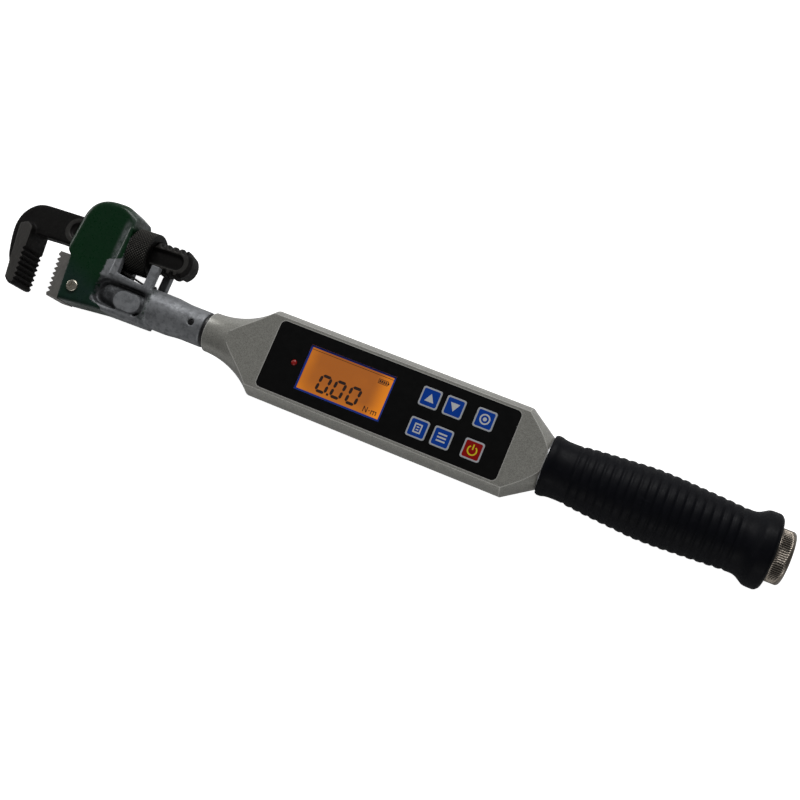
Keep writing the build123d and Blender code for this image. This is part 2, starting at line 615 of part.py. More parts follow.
with BuildPart() as front_panel:
    with BuildSketch(Plane.XY.offset(PANEL_FLOOR)):
        edge = PANEL_HALF_Y - PANEL_GAP
        rounded_box(PANEL_X[0] + PANEL_GAP, PANEL_X[1] - PANEL_GAP, -edge, edge, 2.7)
        with Locations(((WINDOW[0] + WINDOW[1]) / 2, (WINDOW[2] + WINDOW[3]) / 2)):
            Rectangle(WINDOW[1] - WINDOW[0], WINDOW[3] - WINDOW[2], mode=Mode.SUBTRACT)
        with Locations(*KEY_PLACES.values()):
            RectangleRounded(
                KEY_SIZE[0] + 2 * KEY_GAP, KEY_SIZE[1] + 2 * KEY_GAP, KEY_CORNER + KEY_GAP, mode=Mode.SUBTRACT
            )
        with Locations(LAMP_AT):
            Circle(LAMP_RADIUS + PANEL_GAP, mode=Mode.SUBTRACT)
    extrude(amount=PANEL_TOP - PANEL_FLOOR)
save(front_panel.part, "front_panel")

for name, place in KEY_PLACES.items():
    with BuildPart() as key:
        with BuildSketch(Plane((place[0], place[1], FLANGE_BOTTOM))):
            RectangleRounded(KEY_SIZE[0] + 1.2, KEY_SIZE[1] + 1.2, KEY_CORNER)
        extrude(amount=PANEL_FLOOR - FLANGE_BOTTOM - 0.05)
        with BuildSketch(Plane((place[0], place[1], FLANGE_BOTTOM))):
            RectangleRounded(*KEY_SIZE, KEY_CORNER)
        extrude(amount=KEY_TOP - FLANGE_BOTTOM)
        fillet(key.edges().group_by(Axis.Z)[-1], 0.25)
        with BuildSketch(Plane((place[0], place[1], STEM_END))):
            Circle(STEM_RADIUS)
        extrude(amount=FLANGE_BOTTOM - STEM_END)
    save(key.part, name)

board_top = LEDGE_Z + 0.05 + BOARD_THICK

with BuildPart() as key_switches:
    for place in KEY_PLACES.values():
        with BuildSketch(Plane((place[0], place[1], board_top))):
            RectangleRounded(SWITCH_SIZE, SWITCH_SIZE, 0.4)
        extrude(amount=SWITCH_TOP - board_top)
        with BuildSketch(Plane((place[0], place[1], STEM_END - KEY_TRAVEL - 0.1))):
            Circle(STEM_RADIUS + 0.15)
        extrude(amount=3, mode=Mode.SUBTRACT)
save(key_switches.part, "key_switches")

with BuildPart() as circuit_board:
    with BuildSketch(Plane.XY.offset(LEDGE_Z + 0.05)):
        rounded_box(BOARD[0], BOARD[1], -BOARD[2], BOARD[2], 1.5)
        with Locations(*[(x, y * BOARD_SCREW_AT[2]) for x in BOARD_SCREW_AT[:2] for y in (1, -1)]):
            Circle(1.1, mode=Mode.SUBTRACT)
    extrude(amount=BOARD_THICK)
save(circuit_board.part, "circuit_board")

SCREW_HEAD_RADIUS, SCREW_HEAD_HEIGHT = 1.5, 1.3

with BuildPart() as board_screws:
    for x in BOARD_SCREW_AT[:2]:
        for y in (-BOARD_SCREW_AT[2], BOARD_SCREW_AT[2]):
            with BuildSketch(Plane((x, y, LEDGE_Z - 4))):
                Circle(1.0)
            extrude(amount=board_top - LEDGE_Z + 4)
            with BuildSketch(Plane((x, y, board_top))):
                Circle(SCREW_HEAD_RADIUS)
            extrude(amount=SCREW_HEAD_HEIGHT)
            with BuildSketch(Plane((x, y, board_top + SCREW_HEAD_HEIGHT))):
                Rectangle(1.8, 0.45)
                Rectangle(0.45, 1.8)
            extrude(amount=-0.7, mode=Mode.SUBTRACT)
save(board_screws.part, "board_screws")

LCD_Z = (9.9, 11.9)

with BuildPart() as backlight:
    with BuildSketch(Plane.XY.offset(board_top)):
        rounded_box(WINDOW[0] - 1.2, WINDOW[1] + 1.2, WINDOW[2] - 1.5, WINDOW[3] + 1.5, 0.5)
    extrude(amount=LCD_Z[0] - board_top - 0.02)
save(backlight.part, "backlight")

with BuildPart() as lcd_module:
    with BuildSketch(Plane.XY.offset(LCD_Z[0])):
        rounded_box(WINDOW[0] - 0.9, WINDOW[1] + 0.9, WINDOW[2] - 1.0, WINDOW[3] + 1.0, 0.3)
    extrude(amount=LCD_Z[1] - LCD_Z[0])
save(lcd_module.part, "lcd_module")

with BuildPart() as display_window:
    with BuildSketch(Plane.XY.offset(PANEL_FLOOR + 0.1)):
        with Locations(((WINDOW[0] + WINDOW[1]) / 2, (WINDOW[2] + WINDOW[3]) / 2)):
            Rectangle(WINDOW[1] - WINDOW[0] - 0.06, WINDOW[3] - WINDOW[2] - 0.06)
    extrude(amount=0.6)
save(display_window.part, "display_window")

with BuildPart() as status_lamp:
    with BuildSketch(Plane((LAMP_AT[0], LAMP_AT[1], board_top))):
        Circle(LAMP_RADIUS)
    extrude(amount=KEY_TOP + 0.3 - board_top)
    fillet(status_lamp.edges().sort_by(Axis.Z)[-1], 1.2)
save(status_lamp.part, "status_lamp")

PROCESSOR_X, PROCESSOR_SIZE, LEAD_PITCH, LEADS = 212.5, 7.0, 0.8, 8

with BuildPart() as processor:
    with BuildSketch(Plane((PROCESSOR_X, 0, board_top + 0.1))):
        Rectangle(PROCESSOR_SIZE, PROCESSOR_SIZE)
    extrude(amount=1.4)
    chamfer(processor.edges().group_by(Axis.Z)[-1], 0.2)
    lead_rows = [Location((PROCESSOR_X, 0, board_top + 0.3), (0, 0, turn)) for turn in (0, 90, 180, 270)]
    first_lead = -LEAD_PITCH * (LEADS - 1) / 2
    with Locations(*lead_rows):
        with Locations(*[(3.9, first_lead + LEAD_PITCH * lead, 0) for lead in range(LEADS)]):
            Box(1.0, 0.35, 0.3)
save(processor.part, "processor")

BUZZER_AT, BUZZER_RADIUS, BUZZER_HEIGHT = (147.5, 9.5), 4.6, 3.2

with BuildPart() as buzzer:
    with BuildSketch(Plane((*BUZZER_AT, board_top))):
        Circle(BUZZER_RADIUS)
    extrude(amount=BUZZER_HEIGHT)
    with BuildSketch(Plane((*BUZZER_AT, board_top + BUZZER_HEIGHT))):
        Circle(0.9)
    extrude(amount=-1.0, mode=Mode.SUBTRACT)
save(buzzer.part, "buzzer")

# ---------------------------------------------------------------- wires

WIRE_RADIUS = 0.45


def wire(points):
    """Insulated wire through a few points."""
    with BuildPart(mode=Mode.PRIVATE) as run:
        with BuildLine() as route:
            Spline(*points)
        with BuildSketch(Plane(origin=route.line @ 0, z_dir=route.line % 0)):
            Circle(WIRE_RADIUS)
        sweep(path=route.line)
    return run.part


with BuildPart() as gauge_wires:
    for side in (1, -1):
        gauge_y = side * (FLEX_HALF_Y + 0.7)
        add(wire([(164.5, gauge_y, 0), (172, side * 6.5, 1), (178, side * 9, 4), (180, side * 9.5, 6.6)]))
save(gauge_wires.part, "gauge_wires")

with BuildPart() as battery_wires:
    for side in (1, -1):
        add(wire([(297.0, side * 1.2, 0), (275, side * 1.2, 0), (258, side * 2.2, 0), (250, side * 7, 6.6)]))
save(battery_wires.part, "battery_wires")

# ---------------------------------------------------------------- handle

with BuildPart() as handle_tube:
    with BuildSketch(across(BODY_END)):
        Circle(TUBE_OUTER)
        Circle(TUBE_INNER, mode=Mode.SUBTRACT)
    extrude(amount=TUBE_END - BODY_END)
    for side in (1, -1):
        with BuildSketch(Plane((TUBE_SCREW_X, side * 9, 0), x_dir=(1, 0, 0), z_dir=(0, side, 0))):
            Circle(TUBE_SCREW_RADIUS)
        extrude(amount=6, mode=Mode.SUBTRACT)
save(handle_tube.part, "handle_tube")

with BuildPart() as tube_screws:
    for side in (1, -1):
        with BuildSketch(Plane((TUBE_SCREW_X, side * 8.0, 0), x_dir=(1, 0, 0), z_dir=(0, side, 0))):
            Circle(TUBE_SCREW_RADIUS - 0.02)
        extrude(amount=4.8)
        with BuildSketch(Plane((TUBE_SCREW_X, side * 12.8, 0), x_dir=(1, 0, 0), z_dir=(0, side, 0))):
            RegularPolygon(0.9, 6)
        extrude(amount=-1.5, mode=Mode.SUBTRACT)
save(tube_screws.part, "tube_screws")

GRIP_BAND = [(GRIP_START, 15.2), (292.0, 15.8), (296.0, 15.0), (302.5, 15.0)]
GRIP_SWELL = [(302.5, 15.0), (306.5, 15.9), (325.0, 17.1), (344.0, 18.3), (366.0, 17.4), (382.0, 16.4)]
GRIP_FLARE = [(382.0, 16.4), (389.0, 15.9), (393.0, 16.6), (396.5, 18.9), (400.0, 19.33), (GRIP_END, 18.2)]
RIB_RADIUS = 1.3

with BuildPart() as grip_sleeve:
    with BuildSketch(Plane.XY):
        with BuildLine() as grip_outline:
            Line((GRIP_START, GRIP_INNER), GRIP_BAND[0])
            Spline(*GRIP_BAND)
            Spline(*GRIP_SWELL)
            Spline(*GRIP_FLARE, tangents=((1, -0.1), (0.9, -0.5)))
            Polyline(GRIP_FLARE[-1], (GRIP_END, GRIP_INNER), (GRIP_START, GRIP_INNER))
        make_face()
        rib_pitch = (RIB_END - RIB_START) / RIB_COUNT
        swell = Curve() + grip_outline.edges().sort_by(Axis.X)
        for rib in range(RIB_COUNT + 1):
            x = RIB_START + rib * rib_pitch
            reach = Edge.make_line((x, GRIP_INNER, 0), (x, 25, 0))
            crossing = [p for e in swell.edges() for p in e.find_intersection_points(reach)] or [None]
            if crossing[0] is not None:
                with Locations((x, max(p.Y for p in crossing) + RIB_RADIUS - RIB_DEPTH)):
                    Circle(RIB_RADIUS, mode=Mode.SUBTRACT)
    revolve(axis=Axis.X)
save(grip_sleeve.part, "grip_sleeve")

LINER_OUTER, LINER_INNER, LINER_END = 9.9, 7.6, 393.0

with BuildPart() as battery_liner:
    with BuildSketch(across(CELL_START)):
        Circle(LINER_OUTER)
        Circle(LINER_INNER, mode=Mode.SUBTRACT)
    extrude(amount=LINER_END - CELL_START)
save(battery_liner.part, "battery_liner")

with BuildPart() as battery_cells:
    for cell in range(2):
        front = CELL_START + cell * (CELL_LENGTH + CELL_GAP)
        with BuildSketch(across(front)):
            Circle(2.7)
        extrude(amount=1.2)
        with BuildSketch(across(front + 1.2)):
            Circle(CELL_RADIUS)
        extrude(amount=CELL_LENGTH - 1.2)
save(battery_cells.part, "battery_cells")

with BuildPart() as contact_carrier:
    with BuildSketch(across(BOSS_END + 0.1)):
        Circle(9.8)
        Circle(3.2, mode=Mode.SUBTRACT)
    extrude(amount=1.7)
save(contact_carrier.part, "contact_carrier")

with BuildPart() as front_contact:
    with BuildSketch(across(BOSS_END + 0.6)):
        Circle(3.15)
    extrude(amount=1.3)
    chamfer(front_contact.edges().sort_by(Axis.X)[-1], 0.3)
save(front_contact.part, "front_contact")

KNURL_COUNT, KNURL_DEPTH = 72, 0.45

with BuildPart() as end_cap:
    with BuildSketch(Plane.XY):
        with BuildLine():
            Polyline(
                (NECK_START, NECK_INNER),
                (NECK_START, NECK_OUTER),
                (CAP_START, NECK_OUTER),
                (CAP_START, CAP_RADIUS - 0.4),
                (CAP_START + 0.4, CAP_RADIUS),
                (CAP_END - 1.6, CAP_RADIUS),
            )
            RadiusArc((CAP_END - 1.6, CAP_RADIUS), (CAP_END, CAP_RADIUS - 1.6), 1.6)
            Polyline((CAP_END, CAP_RADIUS - 1.6), (CAP_END, 0), (CAP_FLOOR, 0), (CAP_FLOOR, NECK_INNER))
            Line((CAP_FLOOR, NECK_INNER), (NECK_START, NECK_INNER))
        make_face()
    revolve(axis=Axis.X)
    with BuildSketch(across(CAP_START + 0.9)):
        with PolarLocations(CAP_RADIUS, KNURL_COUNT):
            RegularPolygon(KNURL_DEPTH, 4)
    extrude(amount=CAP_END - CAP_START - 2.5, mode=Mode.SUBTRACT)
save(end_cap.part, "end_cap")

with BuildPart() as cap_seal:
    with BuildSketch(across(TUBE_END + 0.03)):
        Circle(12.6)
        Circle(10.4, mode=Mode.SUBTRACT)
    extrude(amount=CAP_START - TUBE_END - 0.06)
save(cap_seal.part, "cap_seal")

with BuildPart() as contact_plate:
    with BuildSketch(across(CAP_FLOOR - 0.6)):
        Circle(NECK_INNER - 0.3)
    extrude(amount=0.5)
save(contact_plate.part, "contact_plate")

cells_end = CELL_START + 2 * CELL_LENGTH + CELL_GAP
contact_coil = CAP_FLOOR - 0.6 - cells_end - 2 * WIRE_RADIUS - 0.15

with BuildPart() as contact_spring:
    with BuildLine(across(cells_end + WIRE_RADIUS + 0.08)) as contact_path:
        Helix(contact_coil / 4, contact_coil, 3.4, direction=(1, 0, 0), cone_angle=18)
    with BuildSketch(Plane(origin=contact_path.line @ 0, z_dir=contact_path.line % 0)):
        Circle(WIRE_RADIUS)
    sweep(path=contact_path.line, is_frenet=True)
save(contact_spring.part, "contact_spring")
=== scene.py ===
"""Looks of a digital torque wrench with a pipe-wrench head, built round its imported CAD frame.

Blender metres, in the row frame: +X runs to the end cap, +Y to the shank of the hook jaw and +Z out of the
display.
Lengths written in millimetres are multiplied by MM where they are used."""

import json
import math

import bmesh
import bpy
import numpy as np
from mathutils import Matrix, Vector


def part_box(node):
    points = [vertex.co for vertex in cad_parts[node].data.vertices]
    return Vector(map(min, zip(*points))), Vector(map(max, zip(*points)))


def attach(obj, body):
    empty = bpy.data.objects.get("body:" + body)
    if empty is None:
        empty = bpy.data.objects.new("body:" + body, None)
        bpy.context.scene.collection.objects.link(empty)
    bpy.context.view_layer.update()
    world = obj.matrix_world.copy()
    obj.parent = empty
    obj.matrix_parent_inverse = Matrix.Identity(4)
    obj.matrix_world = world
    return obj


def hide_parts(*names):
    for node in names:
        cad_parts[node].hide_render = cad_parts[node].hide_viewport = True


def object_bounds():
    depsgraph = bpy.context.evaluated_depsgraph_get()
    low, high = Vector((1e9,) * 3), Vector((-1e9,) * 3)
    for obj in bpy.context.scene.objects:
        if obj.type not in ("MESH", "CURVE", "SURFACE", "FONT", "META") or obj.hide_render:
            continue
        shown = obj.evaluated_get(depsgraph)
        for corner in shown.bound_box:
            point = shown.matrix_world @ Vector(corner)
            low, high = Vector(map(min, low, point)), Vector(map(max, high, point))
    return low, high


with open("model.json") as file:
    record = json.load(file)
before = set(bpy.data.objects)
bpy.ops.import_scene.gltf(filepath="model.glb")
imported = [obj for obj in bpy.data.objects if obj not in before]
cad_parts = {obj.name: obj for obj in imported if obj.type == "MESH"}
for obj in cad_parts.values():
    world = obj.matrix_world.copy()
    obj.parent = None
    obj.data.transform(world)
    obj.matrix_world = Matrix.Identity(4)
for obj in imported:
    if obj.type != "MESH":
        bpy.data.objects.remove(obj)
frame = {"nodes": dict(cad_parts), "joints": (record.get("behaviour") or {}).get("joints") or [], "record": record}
cad_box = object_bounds()

MM = 0.001
NODES = frame["nodes"]
JOINTS = {joint["name"]: joint for joint in frame["joints"]}
BODY_OF = {node: body for body, nodes in frame["record"]["behaviour"]["bodies"].items() for node in nodes}


# ---------------------------------------------------------------- materials

class Shader:
    """One node material, with a short call for each kind of node in it."""

    def __init__(self, name, **sockets):
        self.material = bpy.data.materials.new(name)
        self.material.use_nodes = True
        self.nodes = self.material.node_tree.nodes
        self.links = self.material.node_tree.links
        self.surface = self.nodes["Principled BSDF"]
        self.set(**sockets)

    def put(self, socket, value):
        """Feed a socket from another socket, a colour or a number."""
        if isinstance(value, bpy.types.NodeSocket):
            self.links.new(value, socket)
        elif isinstance(value, tuple) and socket.type == "RGBA":
            socket.default_value = (*value, 1.0)
        else:
            socket.default_value = value

    def set(self, **sockets):
        """Set sockets of the surface; Base_Colour spells 'Base Color'."""
        for name, value in sockets.items():
            self.put(self.surface.inputs[name.replace("_", " ").replace("Colour", "Color")], value)

    def make(self, kind, inputs, output=0, **settings):
        """Add a node and return one of its outputs."""
        made = self.nodes.new("ShaderNode" + kind)
        for name, value in settings.items():
            setattr(made, name, value)
        for key, value in inputs.items():
            self.put(made.inputs[key], value)
        return made.outputs[output]

    def place(self):
        """Position in the row frame, in millimetres."""
        spot = self.make("TexCoord", {}, "Object")
        return self.make("VectorMath", {0: spot, "Scale": 1 / MM}, operation="SCALE")

    def axes(self):
        """The three coordinates of place()."""
        split = self.nodes.new("ShaderNodeSeparateXYZ")
        self.put(split.inputs[0], self.place())
        return split.outputs

    def noise(self, size, detail=3.0, roughness=0.55, stretch=None):
        """Soft noise from 0 to 1, with features of a size in mm, stretched along the axes where asked."""
        spot = self.place()
        if stretch:
            spot = self.make("VectorMath", {0: spot, 1: stretch}, operation="DIVIDE")
        inputs = {"Vector": spot, "Scale": 1 / size, "Detail": detail, "Roughness": roughness}
        return self.make("TexNoise", inputs, "Fac")

    def flakes(self, size):
        """Random value of each small cell, as of metal flake in paint."""
        return self.make("TexVoronoi", {"Vector": self.place(), "Scale": 1 / size}, "Color")

    def sum(self, *values):
        """Total of several values."""
        total = values[0]
        for value in values[1:]:
            total = self.math("ADD", total, value)
        return total

    def product(self, *values):
        """Several values multiplied together."""
        total = values[0]
        for value in values[1:]:
            total = self.math("MULTIPLY", total, value)
        return total

    def distance(self, first, second):
        """Length of a flat step, from its two parts."""
        squares = (self.math("MULTIPLY", part, part) for part in (first, second))
        return self.math("SQRT", self.math("ADD", *squares))

    def math(self, operation, *values):
        """One arithmetic node."""
        return self.make("Math", dict(enumerate(values)), operation=operation)

    def step(self, value, low, high, start=0.0, end=1.0):
        """start below low, end above high, and a smooth change between them."""
        inputs = {"Value": value, "From Min": low, "From Max": high, "To Min": start, "To Max": end}
        return self.make("MapRange", inputs, interpolation_type="SMOOTHSTEP")

    def within(self, value, low, high, soft):
        """1 between two limits and 0 outside them."""
        rise = self.step(value, low - soft, low + soft)
        return self.math("MULTIPLY", rise, self.step(value, high - soft, high + soft, 1.0, 0.0))

    def mix(self, share, first, second):
        """Colour between two colours."""
        return self.make("Mix", {0: share, 6: first, 7: second}, 2, data_type="RGBA")

    def bump(self, height, distance, strength=1.0, below=None):
        """Surface normal from a height from 0 to 1 that stands for a distance in millimetres."""
        inputs = {"Height": height, "Distance": distance * MM, "Strength": strength}
        if below is not None:
            inputs["Normal"] = below
        return self.make("Bump", inputs)

    def edge_mask(self, radius, low=0.03, high=0.22):
        """1 on edges sharper than a radius in millimetres, 0 on flat faces."""
        soft = self.make("Bevel", {"Radius": radius * MM}, samples=4)
        flat = self.make("NewGeometry", {}, "Normal")
        same = self.make("VectorMath", {0: soft, 1: flat}, "Value", operation="DOT_PRODUCT")
        return self.step(self.math("SUBTRACT", 1.0, same), low, high)


def srgb(red, green, blue):
    """Linear colour from a colour on a scale of 0 to 255."""
    shares = (value / 255 for value in (red, green, blue))
    return tuple(((v + 0.055) / 1.055) ** 2.4 if v > 10 / 255 else v / 12.92 for v in shares)


def painted_casting():
    """Green enamel over grey cast alloy, bare below the nut, in the side recesses and on the neck."""
    s = Shader("painted_casting")
    x, y, z = s.axes()
    ragged = s.math("MULTIPLY_ADD", s.noise(2.4, 4.0, 0.65), 4.0, -2.0)
    edge = s.sum(x, ragged)
    in_recess = s.within(s.math("ADD", y, ragged), *ENAMEL_CUT_BACK_Y, 2.0)
    reach = s.math("MULTIPLY_ADD", in_recess, -ENAMEL_CUT_BACK, ENAMEL_END)
    green = s.step(s.math("SUBTRACT", edge, reach), -0.6, 0.6, 1.0, 0.0)
    # the enamel is thin on the rear slope of the arch
    thin = s.product(s.within(x, *THIN_X, 1.6), s.within(y, *THIN_Y, 4.0))
    off_middle = s.step(s.math("ABSOLUTE", z), 5.0, 9.0, 1.0, 0.7)
    crown = s.product(s.step(s.sum(x, y, ragged), *CROWN_X_PLUS_Y), off_middle)
    bared = s.math("MAXIMUM", s.product(thin, 0.6), s.product(crown, 0.7))
    rub = s.math("MULTIPLY", bared, s.step(s.noise(3.0, 5.0, 0.7), 0.3, 0.62, 0.1, 0.85))
    green = s.math("MULTIPLY", green, s.math("SUBTRACT", 1.0, rub))
    # spray that reached the neck
    spray = s.product(s.within(edge, *SPRAY_X, 0.8), s.within(y, *SPRAY_Y, 3.0))
    spray = s.product(spray, s.step(s.noise(1.1, 5.0, 0.7), 0.47, 0.6, 0.0, 0.75))
    green = s.math("MAXIMUM", green, spray)
    worn = s.math("MULTIPLY", s.edge_mask(0.6), s.step(s.noise(3.0), 0.56, 0.7, 0.0, 0.5))
    green = s.math("MULTIPLY", green, s.math("SUBTRACT", 1.0, worn))
    # painted sheen: the enamel is coloured blue-grey towards the bottom of the head
    low = s.step(s.math("ADD", y, s.math("MULTIPLY", x, 0.35)), 2.0, 16.0, 1.0, 0.0)
    enamel = s.mix(low, srgb(5, 42, 19), srgb(22, 43, 37))
    enamel = s.mix(s.step(s.noise(7.0), 0.3, 0.7, 0.0, 0.5), enamel, srgb(6, 38, 18))
    alloy = s.mix(s.noise(2.2, 6.0, 0.6), srgb(122, 124, 127), srgb(150, 152, 155))
    grime = s.step(s.noise(3.6, 5.0, 0.7), 0.45, 0.66, 0.0, 0.55)
    alloy = s.mix(grime, alloy, srgb(88, 89, 92))
    # dirt and painted shade in the side recess round the raised pad, and a dark line of painted shade round the
    # pad
    dish = s.product(s.within(x, *DISH_X, 1.5), s.within(y, *DISH_Y, 0.9))
    along = s.math("ABSOLUTE", s.math("SUBTRACT", x, PAD_MIDDLE[0]))
    past = s.math("MAXIMUM", s.math("SUBTRACT", along, PAD_STRAIGHT), 0.0)
    from_pad = s.distance(past, s.math("SUBTRACT", y, PAD_MIDDLE[1]))
    dish = s.product(dish, s.step(from_pad, PAD_RADIUS - 0.5, PAD_RADIUS))
    dirt_and_shade = s.product(dish, s.step(s.noise(2.8, 5.0, 0.7), 0.2, 0.6, 0.55, 0.9))
    alloy = s.mix(dirt_and_shade, alloy, srgb(46, 47, 49))
    # painted shade: a dark line round the edge of the raised pad
    wavering = s.math("ADD", from_pad, s.product(ragged, 0.15))
    outline = s.within(wavering, PAD_RADIUS - 0.75, PAD_RADIUS - 0.1, 0.25)
    alloy = s.mix(s.product(outline, 0.75), alloy, srgb(34, 35, 37))
    s.set(Base_Colour=s.mix(green, alloy, enamel))
    s.set(Metallic=s.math("MULTIPLY_ADD", green, -0.5, 0.5))
    rough = s.step(s.noise(1.2, 4.0), 0.3, 0.7, 0.42, 0.6)
    s.set(Roughness=s.math("MULTIPLY_ADD", green, -0.16, rough), Coat_Weight=s.math("MULTIPLY", green, 0.2))
    s.set(Coat_Roughness=0.16, Specular_IOR_Level=0.15)
    grain = s.bump(s.noise(0.55, 4.0, 0.6), 0.07, 0.8)
    s.set(Normal=s.bump(s.noise(4.0, 2.0), 0.3, 0.6, grain))
    return s.material


def black_forging():
    """Black forged steel, ground bright on the flat faces and round the pocket of the shank."""
    s = Shader("black_forging")
    x, y, z = s.axes()
    side = s.math("ABSOLUTE", z)
    scale = s.mix(s.noise(2.6, 6.0, 0.65), srgb(13, 12, 12), srgb(27, 26, 25))
    scale = s.mix(s.step(s.noise(0.8, 3.0), 0.55, 0.75, 0.0, 0.45), scale, srgb(40, 38, 37))
    ground = s.mix(s.noise(0.5, 4.0, 0.6, (1.0, 8.0, 1.0)), srgb(66, 65, 63), srgb(92, 90, 88))
    cheek = s.step(s.math("ADD", side, s.product(s.noise(1.5, 4.0), 0.12)), *CHEEK_SIDE)
    # ground ring round the pocket, where the shank is brought to width
    rise = s.math("MULTIPLY_ADD", x, -math.tan(SHANK_SLOPE), y)
    off = s.math("SUBTRACT", rise, SHANK_AT_ORIGIN.y / MM)
    beyond = s.math("MAXIMUM", s.math("SUBTRACT", POCKET_X[0], x), s.math("SUBTRACT", x, POCKET_X[1]))
    beyond = s.math("MAXIMUM", beyond, 0.0)
    ring = s.product(s.within(s.distance(off, beyond), *POCKET_RING, 0.15), s.step(side, 4.5, 4.75))
    bare = s.math("MAXIMUM", cheek, s.math("MULTIPLY", ring, 0.5))
    bare = s.math("MAXIMUM", bare, s.math("MULTIPLY", s.edge_mask(0.35), 0.3))
    s.set(Base_Colour=s.mix(bare, scale, ground), Specular_IOR_Level=0.12)
    s.set(Metallic=s.step(bare, 0.0, 1.0, 0.1, 0.7))
    s.set(Roughness=s.step(s.noise(1.6, 4.0), 0.3, 0.7, 0.44, 0.62))
    grain = s.bump(s.noise(0.45, 4.0, 0.6), 0.06, 0.8)
    s.set(Normal=s.bump(s.noise(3.0, 3.0), 0.25, 0.6, grain))
    return s.material


def ground_steel(name, dark, light, grain_along, roughness=0.42, metallic=0.85):
    """Steel with fine grinding lines."""
    s = Shader(name, Metallic=metallic)
    lines = s.noise(0.35, 5.0, 0.6, grain_along)
    s.set(Base_Colour=s.mix(lines, dark, light))
    s.set(Roughness=s.step(s.noise(2.0, 4.0), 0.3, 0.7, roughness - 0.08, roughness + 0.1))
    s.set(Normal=s.bump(lines, 0.03, 0.7))
    return s.material


def black_oxide(name, base, crest, radius=0.25, axis=None):
    """Blackened steel, rubbed lighter on its edges.

    axis is a point, a direction and two radii in mm: beyond those radii the steel gets a painted highlight."""
    s = Shader(name)
    wear_and_highlight = s.product(s.edge_mask(radius, 0.02, 0.2), s.step(s.noise(2.2, 4.0), 0.35, 0.6, 0.15, 0.9))
    # painted highlight on the crests of a knurl, beyond the radii of axis
    if axis:
        off = s.make("VectorMath", {0: s.place(), 1: axis[0]}, operation="SUBTRACT")
        off = s.make("VectorMath", {0: off, 1: axis[1]}, operation="CROSS_PRODUCT")
        radius_here = s.make("VectorMath", {0: off}, "Value", operation="LENGTH")
        wear_and_highlight = s.math("MAXIMUM", wear_and_highlight, s.step(radius_here, axis[2], axis[3], 0.0, 0.8))
    s.set(Base_Colour=s.mix(wear_and_highlight, s.mix(s.noise(1.4, 4.0), base, tuple(1.6 * v for v in base)), crest))
    s.set(Roughness=s.step(s.noise(0.9, 4.0), 0.3, 0.7, 0.38, 0.55))
    s.set(Metallic=0.3, Specular_IOR_Level=0.15)
    s.set(Normal=s.bump(s.noise(0.3, 3.0), 0.02, 0.7))
    return s.material


def silver_paint():
    """Silver paint with fine metal flake, bright on the edges of the body: partly wear, partly a painted
    highlight.
    """
    s = Shader("silver_paint")
    cell = s.nodes.new("ShaderNodeSeparateColor")
    s.put(cell.inputs[0], s.flakes(0.36))
    fleck = s.step(cell.outputs[0], 0.0, 1.0)
    cloud = s.noise(5.0, 3.0)
    tone = s.mix(fleck, srgb(138, 137, 131), srgb(172, 171, 164))
    tone = s.mix(s.step(cloud, 0.3, 0.7, 0.0, 0.25), tone, srgb(136, 135, 129))
    # painted highlight along the sharp edges of the body, with some wear
    wear_and_highlight = s.product(s.edge_mask(0.8, 0.003, 0.02), 0.8)
    s.set(Base_Colour=s.mix(wear_and_highlight, tone, srgb(232, 231, 226)))
    s.set(Metallic=0.45, Roughness=s.step(fleck, 0.0, 1.0, 0.42, 0.34))
    s.set(Coat_Weight=0.25, Coat_Roughness=0.16)
    s.set(Normal=s.bump(s.noise(0.4, 3.0), 0.025, 0.8))
    return s.material


def black_panel():
    """Printed front foil, near black with a fine satin grain."""
    s = Shader("black_panel")
    s.set(Base_Colour=s.mix(s.noise(9.0), srgb(7, 7, 7), srgb(11, 11, 11)))
    s.set(Roughness=s.step(s.noise(3.0, 4.0), 0.3, 0.7, 0.34, 0.42), Specular_IOR_Level=0.15)
    s.set(Normal=s.bump(s.noise(0.25, 2.0), 0.006, 0.5))
    return s.material


def key_face(name, node, colour):
    """Key cap: a coloured field inside a light grey border that follows the rounded edge."""
    s = Shader(name)
    low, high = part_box(node)
    centre = (low + high) / 2 / MM
    x, y, _ = s.axes()
    over = []
    for value, middle, half in ((x, centre.x, KEY_HALF[0]), (y, centre.y, KEY_HALF[1])):
        away = s.math("ABSOLUTE", s.math("SUBTRACT", value, middle))
        over.append(s.math("MAXIMUM", s.math("SUBTRACT", away, half - KEY_BORDER - KEY_INNER_CORNER), 0.0))
    border = s.step(s.distance(*over), KEY_INNER_CORNER - 0.06, KEY_INNER_CORNER + 0.06)
    field = s.mix(s.noise(2.5, 4.0), colour, tuple(0.82 * v for v in colour))
    light = s.mix(s.noise(1.2, 4.0), srgb(158, 161, 166), srgb(180, 183, 188))
    s.set(Base_Colour=s.mix(border, field, light), Roughness=0.42, Specular_IOR_Level=0.15)
    s.set(Normal=s.bump(s.noise(0.25, 2.0), 0.006, 0.5))
    return s.material


def print_ink(name, colour, glow=0.0):
    """Printed ink, slightly uneven."""
    s = Shader(name, Roughness=0.5)
    tone = s.mix(s.noise(0.6, 3.0), colour, tuple(0.85 * v for v in colour))
    s.set(Base_Colour=tone)
    if glow:
        s.set(Emission_Color=tone, Emission_Strength=glow)
    return s.material


